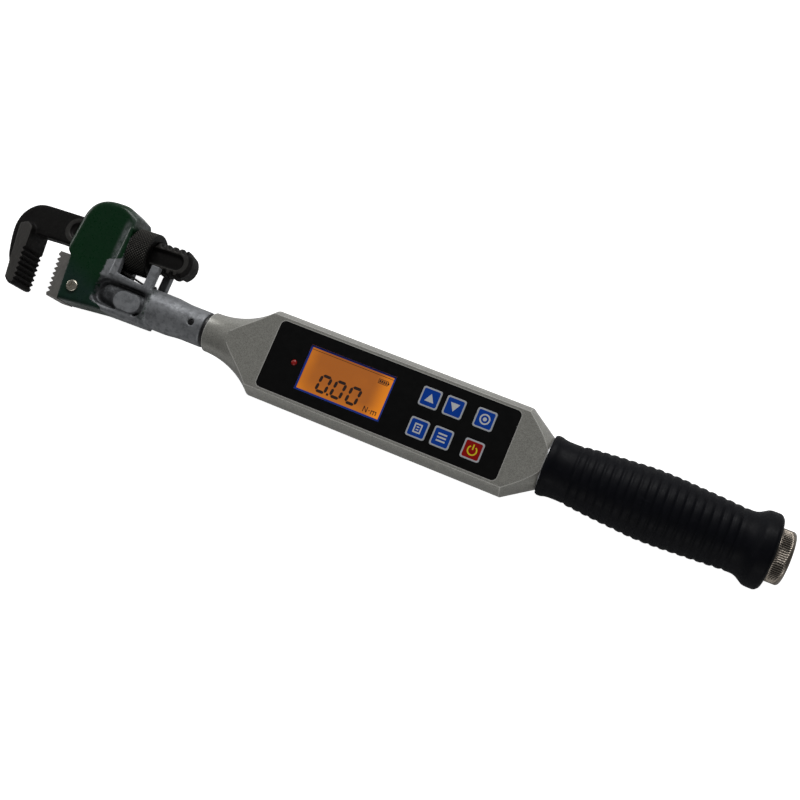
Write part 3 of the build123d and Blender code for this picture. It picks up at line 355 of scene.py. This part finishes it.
def lcd_glow():
    """Backlit orange display, brighter towards the lamps at its edges."""
    s = Shader("lcd_orange", Roughness=0.35)
    low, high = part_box("display_window")
    low, high = low / MM, high / MM
    x, y, _ = s.axes()
    right = s.step(x, high.x - 11.0, high.x - 0.5)
    left = s.step(x, low.x + 0.5, low.x + 8.0, 1.0, 0.0)
    foot = s.step(y, low.y + 0.5, low.y + 8.0, 1.0, 0.0)
    lift = s.sum(s.product(right, 0.9), s.product(left, 0.35), s.product(foot, 0.3))
    lift = s.math("ADD", lift, s.math("MULTIPLY_ADD", s.noise(14.0, 2.0), 0.3, -0.15))
    lift = s.math("MINIMUM", s.math("MAXIMUM", lift, 0.0), 1.0)
    tone = s.mix(lift, srgb(158, 88, 30), srgb(228, 132, 26))
    s.set(Base_Colour=srgb(30, 16, 6), Emission_Color=tone, Emission_Strength=1.0)
    return s.material


def clear_window():
    """Clear acrylic, seen only by its faint gloss."""
    s = Shader("clear_window", Base_Colour=(0.02, 0.02, 0.02), Specular_IOR_Level=0.5)
    s.set(Alpha=s.step(s.noise(20.0), 0.0, 1.0, 0.03, 0.05))
    s.set(Roughness=s.step(s.noise(6.0), 0.3, 0.7, 0.05, 0.1))
    return s.material


def lamp_red():
    """Red lamp lens, a little lit from inside."""
    s = Shader("red_lamp", Roughness=0.35)
    tone = s.mix(s.noise(1.0), srgb(110, 10, 8), srgb(150, 20, 16))
    s.set(Base_Colour=tone, Emission_Color=tone, Emission_Strength=0.12)
    return s.material


def grip_rubber():
    """Blue-black moulded rubber with a fine satin texture and a few handling scuffs."""
    s = Shader("grip_rubber")
    scuff = s.step(s.noise(2.2, 6.0, 0.7, (3.0, 1.0, 1.0)), 0.56, 0.74, 0.0, 0.6)
    base = s.mix(s.noise(7.0, 3.0), srgb(9, 10, 14), srgb(14, 15, 20))
    s.set(Base_Colour=s.mix(scuff, base, srgb(24, 25, 30)))
    s.set(Roughness=s.step(s.noise(3.0, 5.0, 0.6), 0.3, 0.7, 0.42, 0.56), Specular_IOR_Level=0.08)
    grain = s.bump(s.noise(0.35, 3.0), 0.02, 0.7)
    s.set(Normal=s.bump(s.noise(2.5, 3.0), 0.05, 0.5, grain))
    return s.material


def nickel_plate():
    """Warm nickel plating, with painted shade in its grooves."""
    s = Shader("nickel", Metallic=0.95)
    x, y, z = s.axes()
    # painted shade: the grooves of the knurl are coloured dark
    sunk = s.step(s.distance(y, z), CAP_RADIUS - 0.4, CAP_RADIUS - 0.08, 1.0, 0.0)
    begun = s.step(x, CAP_START + 0.6, CAP_START + 1.2)
    ended = s.step(x, CAP_END - 2.1, CAP_END - 1.4, 1.0, 0.0)
    groove = s.product(sunk, begun, ended)
    bright = s.mix(s.noise(1.5, 4.0), srgb(126, 118, 108), srgb(142, 135, 126))
    s.set(Base_Colour=s.mix(groove, bright, srgb(38, 33, 30)))
    s.set(Roughness=s.step(s.noise(1.0, 5.0), 0.3, 0.7, 0.24, 0.38))
    s.set(Normal=s.bump(s.noise(0.25, 3.0), 0.003, 0.5))
    return s.material


def mottled(name, dark, light, size=2.0, roughness=0.5, metallic=0.0, relief=0.02):
    """Plain moulded or plated part with a little variation in tone and relief."""
    s = Shader(name, Metallic=metallic)
    tone = s.noise(size, 4.0, 0.6)
    s.set(Base_Colour=s.mix(tone, dark, light))
    s.set(Roughness=s.step(s.noise(size / 2, 3.0), 0.3, 0.7, roughness - 0.06, roughness + 0.08))
    s.set(Normal=s.bump(s.noise(size / 5, 3.0), relief, 0.6))
    return s.material


# ---------------------------------------------------------------- meshes

def shown(mesh, name, body, material, smooth=40.0):
    """Put a mesh into the scene as a piece that rides on a body; edges over smooth degrees stay sharp."""
    piece = bpy.data.objects.new(name, mesh)
    bpy.context.scene.collection.objects.link(piece)
    mesh.materials.clear()
    mesh.materials.append(material)
    mesh.shade_smooth()
    mesh.set_sharp_from_angle(angle=math.radians(smooth))
    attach(piece, body)
    return piece


def outward(mesh):
    """Weld what coincides and turn every face outwards."""
    work = bmesh.new()
    work.from_mesh(mesh)
    bmesh.ops.remove_doubles(work, verts=work.verts, dist=1e-6)
    bmesh.ops.recalc_face_normals(work, faces=work.faces)
    work.to_mesh(mesh)
    work.free()
    return mesh


def net(name, points, close_rows=True):
    """Closed mesh from rings of points: points[row, column], columns always running round."""
    rows, columns = points.shape[:2]
    index = np.arange(rows * columns).reshape(rows, columns)
    if close_rows:
        index = np.vstack([index, index[:1]])
    index = np.hstack([index, index[:, :1]])
    quads = np.stack([index[:-1, :-1], index[1:, :-1], index[1:, 1:], index[:-1, 1:]], -1)
    mesh = bpy.data.meshes.new(name)
    mesh.from_pydata(points.reshape(-1, 3).tolist(), [], quads.reshape(-1, 4).tolist())
    return outward(mesh)


def smooth_line(points, at):
    """Heights of a smooth curve through a few points, at the places asked for."""
    x, y = np.array(points, float).T
    slope = np.gradient(y, x)
    flat = np.concatenate([[False], np.sign(np.diff(y)[1:]) != np.sign(np.diff(y)[:-1]), [False]])
    slope[flat] = 0.0
    i = np.clip(np.searchsorted(x, at) - 1, 0, len(x) - 2)
    h = x[i + 1] - x[i]
    t = (at - x[i]) / h
    return (
        y[i] * (1 + 2 * t) * (1 - t) ** 2
        + slope[i] * h * t * (1 - t) ** 2
        + y[i + 1] * t * t * (3 - 2 * t)
        + slope[i + 1] * h * t * t * (t - 1)
    )


def notch(phase, width):
    """1 at each whole number of phase, falling to 0 at width from it."""
    return np.clip(1 - np.abs(phase - np.round(phase)) / width, 0, 1)


def line(start, end, step):
    """Places from start to end about a step apart."""
    return np.linspace(start, end, max(2, round(abs(end - start) / step) + 1))


def even_copy(node, name, voxel):
    """Copy of a CAD node's solid as a mesh of even small faces."""
    work = bpy.data.objects.new(name, NODES[node].data.copy())
    bpy.context.scene.collection.objects.link(work)
    weld = work.modifiers.new("weld", "WELD")
    weld.merge_threshold = 1e-6
    even = work.modifiers.new("even", "REMESH")
    even.mode = "VOXEL"
    even.voxel_size = voxel * MM
    depsgraph = bpy.context.evaluated_depsgraph_get()
    mesh = bpy.data.meshes.new_from_object(work.evaluated_get(depsgraph), depsgraph=depsgraph)
    bpy.data.objects.remove(work)
    return mesh


def relax(mesh, steps, share):
    """Round a mesh off step by step; share(x, y, z) in mm is how far each place takes part, from 0 to 1."""
    count = len(mesh.vertices)
    spots = np.empty(count * 3)
    mesh.vertices.foreach_get("co", spots)
    spots = spots.reshape(-1, 3)
    ends = np.empty(len(mesh.edges) * 2, np.int32)
    mesh.edges.foreach_get("vertices", ends)
    first, second = ends.reshape(-1, 2).T
    degree = np.bincount(ends, minlength=count)[:, None]
    part = np.clip(share(*(spots.T / MM)), 0, 1)[:, None] * 0.5
    for _ in range(steps):
        total = [
            np.bincount(first, spots[second, k], count) + np.bincount(second, spots[first, k], count)
            for k in range(3)
        ]
        spots += (np.stack(total, 1) / degree - spots) * part
    mesh.vertices.foreach_set("co", spots.ravel())
    mesh.update()


def plates(name, outlines, low, high):
    """Flat shapes of one height, each from a closed outline of (x, y) points in mm."""
    spots, faces = [], []
    for outline in outlines:
        n, base = len(outline), len(spots)
        spots += [(x * MM, y * MM, z * MM) for z in (low, high) for x, y in outline]
        faces.append([base + i for i in range(n)][::-1])
        faces.append([base + n + i for i in range(n)])
        faces += [(base + i, base + (i + 1) % n, base + n + (i + 1) % n, base + n + i) for i in range(n)]
    mesh = bpy.data.meshes.new(name)
    mesh.from_pydata(spots, [], faces)
    return outward(mesh)


def ribbon(path, width):
    """Outline of a stroke of one width along a path of points."""
    path = np.array(path, float)
    run = np.gradient(path, axis=0)
    run /= np.linalg.norm(run, axis=1)[:, None]
    side = np.stack([-run[:, 1], run[:, 0]], 1) * width / 2
    return [tuple(p) for p in np.vstack([path + side, (path - side)[::-1]])]


def bar(x_from, x_to, y_from, y_to):
    """Outline of a rectangle."""
    return [(x_from, y_from), (x_to, y_from), (x_to, y_to), (x_from, y_to)]


def loop_of(x_from, x_to, y_from, y_to, width):
    """Outlines of the four sides of a rectangular line."""
    return [
        bar(x_from, x_to, y_to - width, y_to),
        bar(x_from, x_to, y_from, y_from + width),
        bar(x_from, x_from + width, y_from + width, y_to - width),
        bar(x_to - width, x_to, y_from + width, y_to - width),
    ]


def arc(centre, radius, start, end, count=28):
    """Points on an arc between two angles in degrees."""
    turn = np.radians(np.linspace(start, end, count))
    return [(centre[0] + radius * math.cos(t), centre[1] + radius * math.sin(t)) for t in turn]


# ---------------------------------------------------------------- shank frame and key sizes

SHANK_ALONG = Vector(JOINTS["nut_spin"]["axis"]).normalized()
SHANK_SLOPE = math.atan2(SHANK_ALONG.y, SHANK_ALONG.x)
nut_joint = Vector(JOINTS["nut_spin"]["pos_m"])
SHANK_AT_ORIGIN = nut_joint - SHANK_ALONG * (nut_joint.x / SHANK_ALONG.x)
THREAD_PITCH = 4.25
THREAD_START = 12.0                    # along the shank from x = 0, where the thread's ridge faces +Z
KEY_HALF, KEY_BORDER, KEY_INNER_CORNER = (5.2, 5.15), 0.85, 0.9
CAP_START, CAP_END, CAP_RADIUS = 403.8, 411.7, 13.5

# places on the head, in mm
PAD_MIDDLE, PAD_STRAIGHT, PAD_RADIUS = (48.7, -2.7), 3.0, 5.7    # raised pad in the side recess
DISH_X, DISH_Y = (27.0, 60.0), (-9.0, 6.2)                       # floor of that recess, with dirt and painted shade
ENAMEL_END = 36.0                                                # the enamel stops here along X
ENAMEL_CUT_BACK, ENAMEL_CUT_BACK_Y = 8.0, (-9.4, 17.0)           # and sooner at these heights
THIN_X, THIN_Y = (29.5, 33.0), (14.0, 38.0)                      # rear slope of the arch
CROWN_X_PLUS_Y = (70.0, 77.0)                                    # rear corner of the arch
SPRAY_X, SPRAY_Y = (58.6, 61.4), (-9.0, 10.0)                    # enamel that reached the neck
POCKET_X, POCKET_RING = (0.7, 63.0), (4.5, 7.3)                  # ends and ring of the pocket in the shank
CHEEK_SIDE = (9.44, 9.5)                                         # the ground cheeks begin here along Z


# ---------------------------------------------------------------- head

def head_casting():
    """The casting, with the soft edges that sand casting leaves."""
    mesh = even_copy("head_housing", "head_casting", 0.4)

    def share(x, y, z):
        nut_window = (x > 32) & (x < 60) & (y > 7) & (np.abs(z) > 6)
        socket = x > 62
        return np.where(socket, 0.5, np.where(nut_window, 0.35, 1.0))

    def recess(x, y, z):
        inside = (x > 26) & (x < 61.5) & (y > -11) & (y < 7.2) & (np.abs(z) > 3.5)
        reach = np.hypot(np.maximum(np.abs(x - PAD_MIDDLE[0]) - PAD_STRAIGHT, 0), y - PAD_MIDDLE[1])
        pad = (reach < PAD_RADIUS + 0.5) & (np.abs(z) > 9.0)
        return np.where(inside & ~pad, 1.0, 0.0)

    relax(mesh, 60, recess)
    relax(mesh, 9, share)
    piece = shown(mesh, "head_casting", "tool", painted_casting(), 180)
    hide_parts("head_housing")


def forged_hook():
    """The hook jaw: rounded forging, with the teeth and the thread left crisp."""
    mesh = even_copy("hook_jaw", "forged_hook", 0.3)

    def share(x, y, z):
        teeth = (x > -26.5) & (y < 17) & (y > -14.5) & (x < -15)
        cheek = (np.abs(z) > 8.6) & (y > -13.5)
        thread = x > 11
        return np.where(thread, 0.16, np.where(teeth | cheek, 0.12, 1.0))

    relax(mesh, 36, share)
    piece = shown(mesh, "forged_hook", "hook", black_forging(), 180)
    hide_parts("hook_jaw")


def round_shank(along, angle, radius):
    """Points about the shank axis, in metres, from mm along it from x = 0, angle from +Z and radius in mm."""
    side = SHANK_ALONG.cross(Vector((0, 0, 1)))
    ring = np.cos(angle)[..., None] * np.array((0, 0, 1)) + np.sin(angle)[..., None] * np.array(side)
    middle = np.array(SHANK_AT_ORIGIN) + (along * MM)[..., None] * np.array(SHANK_ALONG)
    return middle + ring * (radius * MM)[..., None]


def knurled_nut():
    """The adjusting nut, with a diamond knurl outside and the thread inside."""
    start, length, outer, chamfer = 36.2, 12.8, 12.8, 0.8
    root, crest, half_foot, half_top = 7.45, 9.1, 1.4, 1.0
    diamonds, samples, depth = 46, 8, 0.55
    knurl_pitch = 2 * math.pi * outer / diamonds
    angle = np.arange(diamonds * samples) / (diamonds * samples) * 2 * math.pi
    step = knurl_pitch / samples

    def ring(u, radius, carve=0.0):
        u = np.full_like(angle, u)
        across, around = (u - start) / knurl_pitch, angle / (2 * math.pi) * diamonds
        cut = np.maximum(notch(around + across, 0.32), notch(around - across, 0.32))
        return round_shank(u, angle, np.full_like(angle, radius) - depth * carve * cut)

    rows = [ring(start, r) for r in (9.6, 10.4, 11.2, outer - chamfer)]
    for u in line(start + step, start + length - step, step):
        edge = min(u - start, start + length - u)
        rows.append(ring(u, outer - max(0.0, chamfer - edge), min(1.0, edge / chamfer)))
    rows += [ring(start + length, r) for r in (outer - chamfer, 11.2, 10.4, 9.6)]
    for u in line(start + length, start, 0.2):
        nearest = (u - THREAD_START) / THREAD_PITCH - angle / (2 * math.pi)
        off = np.abs(nearest - np.round(nearest)) * THREAD_PITCH
        rise = np.clip((half_foot - off) / (half_foot - half_top), 0, 1)
        rows.append(round_shank(np.full_like(angle, u), angle, root + (crest - root) * rise))
    piece = shown(net("knurled_nut", np.array(rows)), "knurled_nut", "nut", NUT_BLACK, 50)
    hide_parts("adjusting_nut")


# ---------------------------------------------------------------- handle

def about_axis(x, angle, radius):
    """Points about the tool axis, in metres."""
    x = np.broadcast_to(x, radius.shape)
    return np.stack([x, radius * np.cos(angle), radius * np.sin(angle)], -1) * MM


def ribbed_grip():
    """The rubber grip: a swelling ribbed sleeve with a lip at the front and a flange at the end."""
    shape = [
        (289.8, 15.35), (291.2, 15.85), (292.4, 15.8), (295.0, 15.15), (298.0, 14.9), (302.5, 14.95),
        (306.5, 15.55), (312.0, 16.1), (320.0, 16.8), (330.0, 17.5), (343.0, 18.25), (352.0, 18.1),
        (366.0, 17.35), (378.0, 16.65), (386.0, 16.1), (389.5, 15.95), (392.6, 16.6), (394.8, 17.9),
        (396.4, 18.9), (398.6, 19.28), (401.0, 19.3), (402.6, 18.95), (403.7, 17.9),
    ]
    first_rib, last_rib, ribs, depth = 304.6, 385.6, 18, 0.5
    angle = np.arange(160) / 160 * 2 * math.pi
    x = line(shape[0][0], shape[-1][0], 0.25)
    pitch = (last_rib - first_rib) / ribs
    groove = (0.5 + 0.5 * np.cos(2 * math.pi * (x - first_rib) / pitch)) ** 2.2
    groove *= (x > first_rib - pitch / 2) & (x < last_rib + pitch / 2)
    outer = smooth_line(shape, x) - depth * groove + 0.05
    bore = 13.02
    stations = np.concatenate([x, [x[-1], x[0]]])
    radii = np.concatenate([outer, [bore, bore]])
    rows = [about_axis(s, angle, np.full_like(angle, r)) for s, r in zip(stations, radii)]
    mesh = net("ribbed_grip", np.array(rows))
    piece = shown(mesh, "ribbed_grip", "tool", grip_rubber(), 55)
    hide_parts("grip_sleeve")


def knurled_cap():
    """The screw cap: threaded neck, straight-knurled rim and a plain end face."""
    start, end, outer, bottom = CAP_START, CAP_END, CAP_RADIUS, 408.9
    neck_start, neck_outer, neck_inner, pitch = 394.0, 9.88, 8.2, 1.5
    teeth, samples, depth = 72, 8, 0.42
    angle = np.arange(teeth * samples) / (teeth * samples) * 2 * math.pi
    round_corner = 1.5

    def ring(x, radius):
        return about_axis(x, angle, np.full_like(angle, radius))

    rows = [ring(bottom, 0.0), ring(bottom, neck_inner), ring(neck_start, neck_inner), ring(neck_start, 9.1)]
    for x in line(neck_start + 0.3, start - 1.2, 0.16):
        cut = np.abs(((x / pitch - angle / (2 * math.pi)) % 1) - 0.5) * 2
        rows.append(about_axis(x, angle, neck_outer - 0.72 * cut))
    rows += [ring(start - 0.6, 9.2), ring(start, 9.2), ring(start, outer - 0.5), ring(start + 0.45, outer)]
    for x in line(start + 0.9, end - round_corner - 0.3, 0.5):
        fade = min(1.0, (x - start - 0.9) / 0.4, (end - round_corner - 0.3 - x) / 0.4)
        cut = notch(angle / (2 * math.pi) * teeth, 0.42)
        rows.append(about_axis(x, angle, outer - depth * max(fade, 0.0) * cut))
    for turn in np.radians(np.linspace(0, 90, 7)):
        x = end - round_corner + round_corner * math.sin(turn)
        rows.append(ring(x, outer - round_corner + round_corner * math.cos(turn)))
    rows += [ring(end, 8.0), ring(end, 0.0)]
    mesh = net("knurled_cap", np.array(rows), close_rows=False)
    piece = shown(mesh, "knurled_cap", "cap", nickel_plate(), 32)
    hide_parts("end_cap")


# ---------------------------------------------------------------- display and keys

def display():
    """Orange display with its blue frame, seven-segment digits, unit and battery mark."""
    low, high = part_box("display_window")
    left, right, foot, top = low.x / MM, high.x / MM, low.y / MM, high.y / MM
    lcd_low, lcd_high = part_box("lcd_module")
    face = lcd_high.z / MM - 0.25
    ink = print_ink("lcd_ink", srgb(48, 22, 12))
    slab = [bar(lcd_low.x / MM, lcd_high.x / MM, lcd_low.y / MM, lcd_high.y / MM)]
    mesh = plates("display_face", slab, lcd_low.z / MM, face)
    panel = shown(mesh, "display_face", "tool", lcd_glow())
    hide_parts("lcd_module")
    frame_top = low.z / MM - 0.02
    blue = print_ink("frame_blue", srgb(10, 58, 168))
    border = loop_of(left, right, foot, top, 1.05)
    mesh = plates("display_frame", border, frame_top - 0.2, frame_top)
    shown(mesh, "display_frame", "tool", blue)

    def segment(start, end, width):
        """Pointed bar between two points."""
        start, end = np.array(start), np.array(end)
        run = (end - start) / np.linalg.norm(end - start)
        side = np.array((-run[1], run[0])) * width / 2
        tip = run * width / 2
        upper = (start, start + tip + side, end - tip + side)
        lower = (end, end - tip - side, start + tip - side)
        return [tuple(p) for p in upper + lower]

    digit_width, digit_height, bold, slant, gap = 5.1, 8.5, 1.55, 0.10, 0.2
    digit_foot = top - 21.4
    outlines = []
    for digit_left in (10.9, 19.3, 28.0):
        corners = {}
        for i, level in enumerate((0.0, 0.5, 1.0)):
            lean = slant * digit_height * level
            for j, side in enumerate((0.0, 1.0)):
                corner_x = left + digit_left + lean + side * digit_width
                corners[i, j] = (corner_x, digit_foot + level * digit_height)
        around = ((2, 0), (2, 1), (1, 1), (0, 1), (0, 0), (1, 0))
        for a, b in zip(around, around[1:] + around[:1]):
            start, end = np.array(corners[a]), np.array(corners[b])
            inset = (end - start) / np.linalg.norm(end - start) * gap
            outlines.append(segment(start + inset, end - inset, bold))
    outlines.append(bar(left + 17.2, left + 18.4, digit_foot - 0.6, digit_foot + 0.6))
    # newton metres, written with plain strokes
    unit_left, unit_foot, tall, thin = left + 38.2, top - 22.6, 3.0, 0.42
    for offset in (0.0, 1.9):
        outlines.append(bar(unit_left + offset, unit_left + offset + thin, unit_foot, unit_foot + tall))
    slash = [(unit_left + 0.3, unit_foot + tall - 0.1), (unit_left + 2.0, unit_foot + 0.1)]
    outlines.append(ribbon(slash, thin))
    outlines.append(bar(unit_left + 3.1, unit_left + 3.65, unit_foot + 1.2, unit_foot + 1.75))
    for offset in (4.4, 5.7, 7.0):
        outlines.append(bar(unit_left + offset, unit_left + offset + thin, unit_foot, unit_foot + 1.7))
    outlines.append(bar(unit_left + 4.4, unit_left + 7.42, unit_foot + 1.7, unit_foot + 1.7 + thin))
    # battery mark
    mark_left, mark_foot = left + 40.0, top - 6.2
    outlines += loop_of(mark_left, mark_left + 5.4, mark_foot, mark_foot + 2.5, 0.3)
    for i in range(4):
        bar_left = mark_left + 0.6 + 1.1 * i
        outlines.append(bar(bar_left, bar_left + 0.8, mark_foot + 0.55, mark_foot + 1.95))
    outlines.append(bar(mark_left + 5.4, mark_left + 6.0, mark_foot + 0.75, mark_foot + 1.75))
    # edge of the polariser under the top of the frame
    outlines.append(bar(left + 1.0, right - 1.0, top - 2.15, top - 1.9))
    shown(plates("display_digits", outlines, face, face + 0.06), "display_digits", "tool", ink)


def key_marks():
    """The light marks on the keys."""
    light = print_ink("key_ink", srgb(196, 198, 200))
    yellow = print_ink("power_ink", srgb(214, 196, 20))

    def up(x, y):
        return [[(x - 2.5, y - 2.1), (x + 2.5, y - 2.1), (x, y + 2.3)]]

    def down(x, y):
        return [[(x - 2.5, y + 2.1), (x, y - 2.3), (x + 2.5, y + 2.1)]]

    def target(x, y):
        ring = ribbon(arc((x, y), 2.4, 1, 359, 40), 0.8)
        return [ring, arc((x, y), 1.0, 0, 345, 24)]

    def page(x, y):
        lines = [bar(x - 0.7, x + 0.7, y + h - 0.3, y + h + 0.3) for h in (-0.7, 0.7)]
        return loop_of(x - 2.1, x + 2.1, y - 2.5, y + 2.5, 0.75) + lines

    def menu(x, y):
        return [bar(x - 2.4, x + 2.4, y + h - 0.42, y + h + 0.42) for h in (-1.8, 0.0, 1.8)]

    def power(x, y):
        return [ribbon(arc((x, y - 0.2), 2.3, 125, 415, 36), 0.75), bar(x - 0.38, x + 0.38, y + 0.2, y + 3.0)]

    marks = {
        "key_up": (up, light), "key_down": (down, light), "key_set": (target, light),
        "key_print": (page, light), "key_mode": (menu, light), "key_power": (power, yellow),
    }
    for node, (draw, ink) in marks.items():
        low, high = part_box(node)
        middle = (low + high) / 2 / MM
        mesh = plates(node + "_mark", draw(middle.x, middle.y), high.z / MM - 0.02, high.z / MM + 0.03)
        shown(mesh, node + "_mark", BODY_OF[node], ink)


# ---------------------------------------------------------------- CAD nodes that stay

def crisp(node, width):
    """Break the sharp edges of a CAD node by a small width in mm."""
    piece = NODES[node]
    weld = piece.modifiers.new("weld", "WELD")
    weld.merge_threshold = 1e-6
    flat = piece.modifiers.new("flat", "DECIMATE")
    flat.decimate_type = "DISSOLVE"
    flat.angle_limit = math.radians(0.3)
    edge = piece.modifiers.new("edge", "BEVEL")
    edge.width = width * MM
    edge.segments = 3
    edge.limit_method = "ANGLE"
    edge.angle_limit = math.radians(24)
    even = piece.modifiers.new("even", "WEIGHTED_NORMAL")
    even.weight = 100


def dress():
    """Give every carried-over CAD node its material."""
    steel = ground_steel("beam_steel", srgb(120, 120, 118), srgb(165, 165, 162), (8.0, 1.0, 1.0))
    spring = black_oxide("spring_steel", srgb(36, 35, 34), srgb(130, 128, 124))
    dark = black_oxide("dark_steel", srgb(28, 28, 29), srgb(120, 120, 118))
    jaw = ground_steel("jaw_steel", srgb(108, 106, 103), srgb(140, 137, 133), (1.0, 9.0, 1.0), 0.45, 0.6)
    pin = mottled("bright_steel", srgb(186, 180, 164), srgb(216, 212, 198), 1.2, 0.26, 0.95, 0.03)
    tube = ground_steel("tube_alloy", srgb(150, 151, 153), srgb(186, 187, 189), (1.0, 6.0, 6.0), 0.36)
    wire = ground_steel("contact_wire", srgb(150, 148, 140), srgb(190, 188, 180), (4.0, 1.0, 1.0))
    cover = mottled("wire_cover", srgb(110, 12, 10), srgb(150, 24, 18), 3.0, 0.5)
    plastic = mottled("switch_plastic", srgb(22, 22, 23), srgb(36, 36, 38), 1.5, 0.5)
    looks = {
        "heel_jaw": jaw,
        "heel_jaw_pin": pin,
        "jaw_flat_spring": spring, "flat_spring_rivet": spring, "jaw_coil_spring": spring,
        "detent_spring": spring, "contact_spring": wire,
        "sensor_beam": steel, "detent_pin": dark,
        "beam_screws": dark, "board_screws": dark, "tube_screws": dark,
        "nose_ring": mottled("nose_rubber", srgb(12, 12, 13), srgb(20, 20, 21), 2.0, 0.42),
        "cap_seal": mottled("seal_rubber", srgb(10, 10, 10), srgb(18, 18, 18), 2.0, 0.6),
        "strain_gauges": mottled("gauge_foil", srgb(150, 96, 50), srgb(180, 126, 76), 1.0, 0.4, 0.3),
        "body_housing": silver_paint(), "front_panel": black_panel(),
        "key_switches": plastic, "processor": plastic, "buzzer": plastic,
        "circuit_board": mottled("board_green", srgb(10, 62, 34), srgb(16, 84, 46), 3.0, 0.4),
        "backlight": mottled("backlight_plastic", srgb(205, 200, 190), srgb(228, 224, 216), 3.0, 0.45),
        "display_window": clear_window(), "status_lamp": lamp_red(),
        "gauge_wires": cover, "battery_wires": cover,
        "handle_tube": tube,
        "battery_liner": mottled("liner_plastic", srgb(190, 186, 176), srgb(210, 206, 198), 4.0, 0.5),
        "battery_cells": mottled("cell_can", srgb(30, 60, 120), srgb(44, 80, 150), 4.0, 0.32, 0.4),
        "contact_carrier": mottled("carrier_plastic", srgb(30, 30, 32), srgb(44, 44, 46), 2.0, 0.5),
        "front_contact": mottled("contact_brass", srgb(176, 136, 60), srgb(206, 166, 84), 1.5, 0.3, 0.95),
        "contact_plate": mottled("plate_nickel", srgb(178, 174, 164), srgb(204, 200, 190), 1.5, 0.3, 0.95),
    }
    for node in ("key_up", "key_down", "key_set", "key_print", "key_mode"):
        looks[node] = key_face(node + "_blue", node, srgb(4, 62, 158))
    looks["key_power"] = key_face("key_power_red", "key_power", srgb(146, 12, 12))
    for node, material in looks.items():
        NODES[node].data.materials.clear()
        NODES[node].data.materials.append(material)
    for node, width in (("body_housing", 0.4), ("front_panel", 0.08), ("heel_jaw", 0.12)):
        crisp(node, width)


# the knurl's crests, past 12.5 mm from the shank axis, get a painted highlight
nut_axis = (tuple(SHANK_AT_ORIGIN / MM), tuple(SHANK_ALONG), 12.5, 12.72)
NUT_BLACK = black_oxide("black_knurl", srgb(9, 9, 8), srgb(70, 68, 64), 0.3, nut_axis)

dress()
head_casting()
forged_hook()
knurled_nut()
ribbed_grip()
knurled_cap()
display()
key_marks()


# ---------------------------------------------------------------- floor, light and camera

def floor():
    """Plain pale floor under the tool, at the lowest point of the CAD."""
    size = 6.0
    height = cad_box[0].z
    mesh = bpy.data.meshes.new("floor")
    corners = [(-size, -size), (size, -size), (size, size), (-size, size)]
    mesh.from_pydata([(x, y, height) for x, y in corners], [], [(0, 1, 2, 3)])
    plane = bpy.data.objects.new("floor", mesh)
    bpy.context.scene.collection.objects.link(plane)
    s = Shader("floor_pale", Roughness=0.9, Specular_IOR_Level=0.1)
    s.set(Base_Colour=s.mix(s.noise(40.0), (0.90, 0.90, 0.90), (0.92, 0.92, 0.92)))
    seen = s.make("LightPath", {}, "Is Camera Ray")
    s.set(Emission_Color=(1.0, 1.0, 1.0), Emission_Strength=s.product(seen, 0.88))
    mesh.materials.append(s.material)


def softbox(name, place, target, size, power):
    """Large soft lamp aimed at a point."""
    data = bpy.data.lights.new(name, "AREA")
    data.shape = "RECTANGLE"
    data.size, data.size_y = size
    data.energy = power
    lamp = bpy.data.objects.new(name, data)
    lamp.location = place
    lamp.rotation_mode = "QUATERNION"
    lamp.rotation_quaternion = (Vector(target) - Vector(place)).to_track_quat("-Z", "Y")
    bpy.context.scene.collection.objects.link(lamp)


def studio():
    """Soft studio light; the surround is white to the camera and dim to everything else."""
    world = bpy.data.worlds.new("studio")
    bpy.context.scene.world = world
    world.use_nodes = True
    nodes, links = world.node_tree.nodes, world.node_tree.links
    back = nodes["Background"]
    back.inputs["Color"].default_value = (1, 1, 1, 1)
    seen = nodes.new("ShaderNodeLightPath")
    level = nodes.new("ShaderNodeMapRange")
    level.inputs["To Min"].default_value = 0.11
    level.inputs["To Max"].default_value = 1.0
    links.new(seen.outputs["Is Camera Ray"], level.inputs["Value"])
    links.new(level.outputs[0], back.inputs["Strength"])
    middle = (cad_box[0] + cad_box[1]) / 2
    softbox("key", (0.10, 0.95, 0.62), middle, (1.1, 0.35), 10)
    softbox("front", (0.45, -1.0, 0.45), middle, (1.3, 0.35), 3)
    softbox("left", (-1.05, 0.25, 0.22), middle, (0.4, 0.4), 2)
    bpy.context.scene.view_settings.view_transform = "Standard"
    bpy.context.scene.view_settings.look = "None"


def camera():
    """Camera over the display, turned so that the tool runs down to the right."""
    place = Vector((328.4, -55.9, 527.4)) * MM
    ahead = Vector((-0.2215, 0.1087, -0.9691)).normalized()
    roll = math.radians(21.49)
    level_up = Vector((1, 0, 0)).cross(ahead).normalized()
    level_right = ahead.cross(level_up)
    right = math.cos(roll) * level_right + math.sin(roll) * level_up
    up = right.cross(ahead)
    data = bpy.data.cameras.new("camera")
    data.lens, data.sensor_width = 47.25, 36.0
    data.clip_start, data.clip_end = 0.01, 30.0
    viewer = bpy.data.objects.new("camera", data)
    viewer.matrix_world = Matrix.Translation(place) @ Matrix((right, up, -ahead)).transposed().to_4x4()
    bpy.context.scene.collection.objects.link(viewer)
    bpy.context.scene.camera = viewer


floor()
studio()
camera()
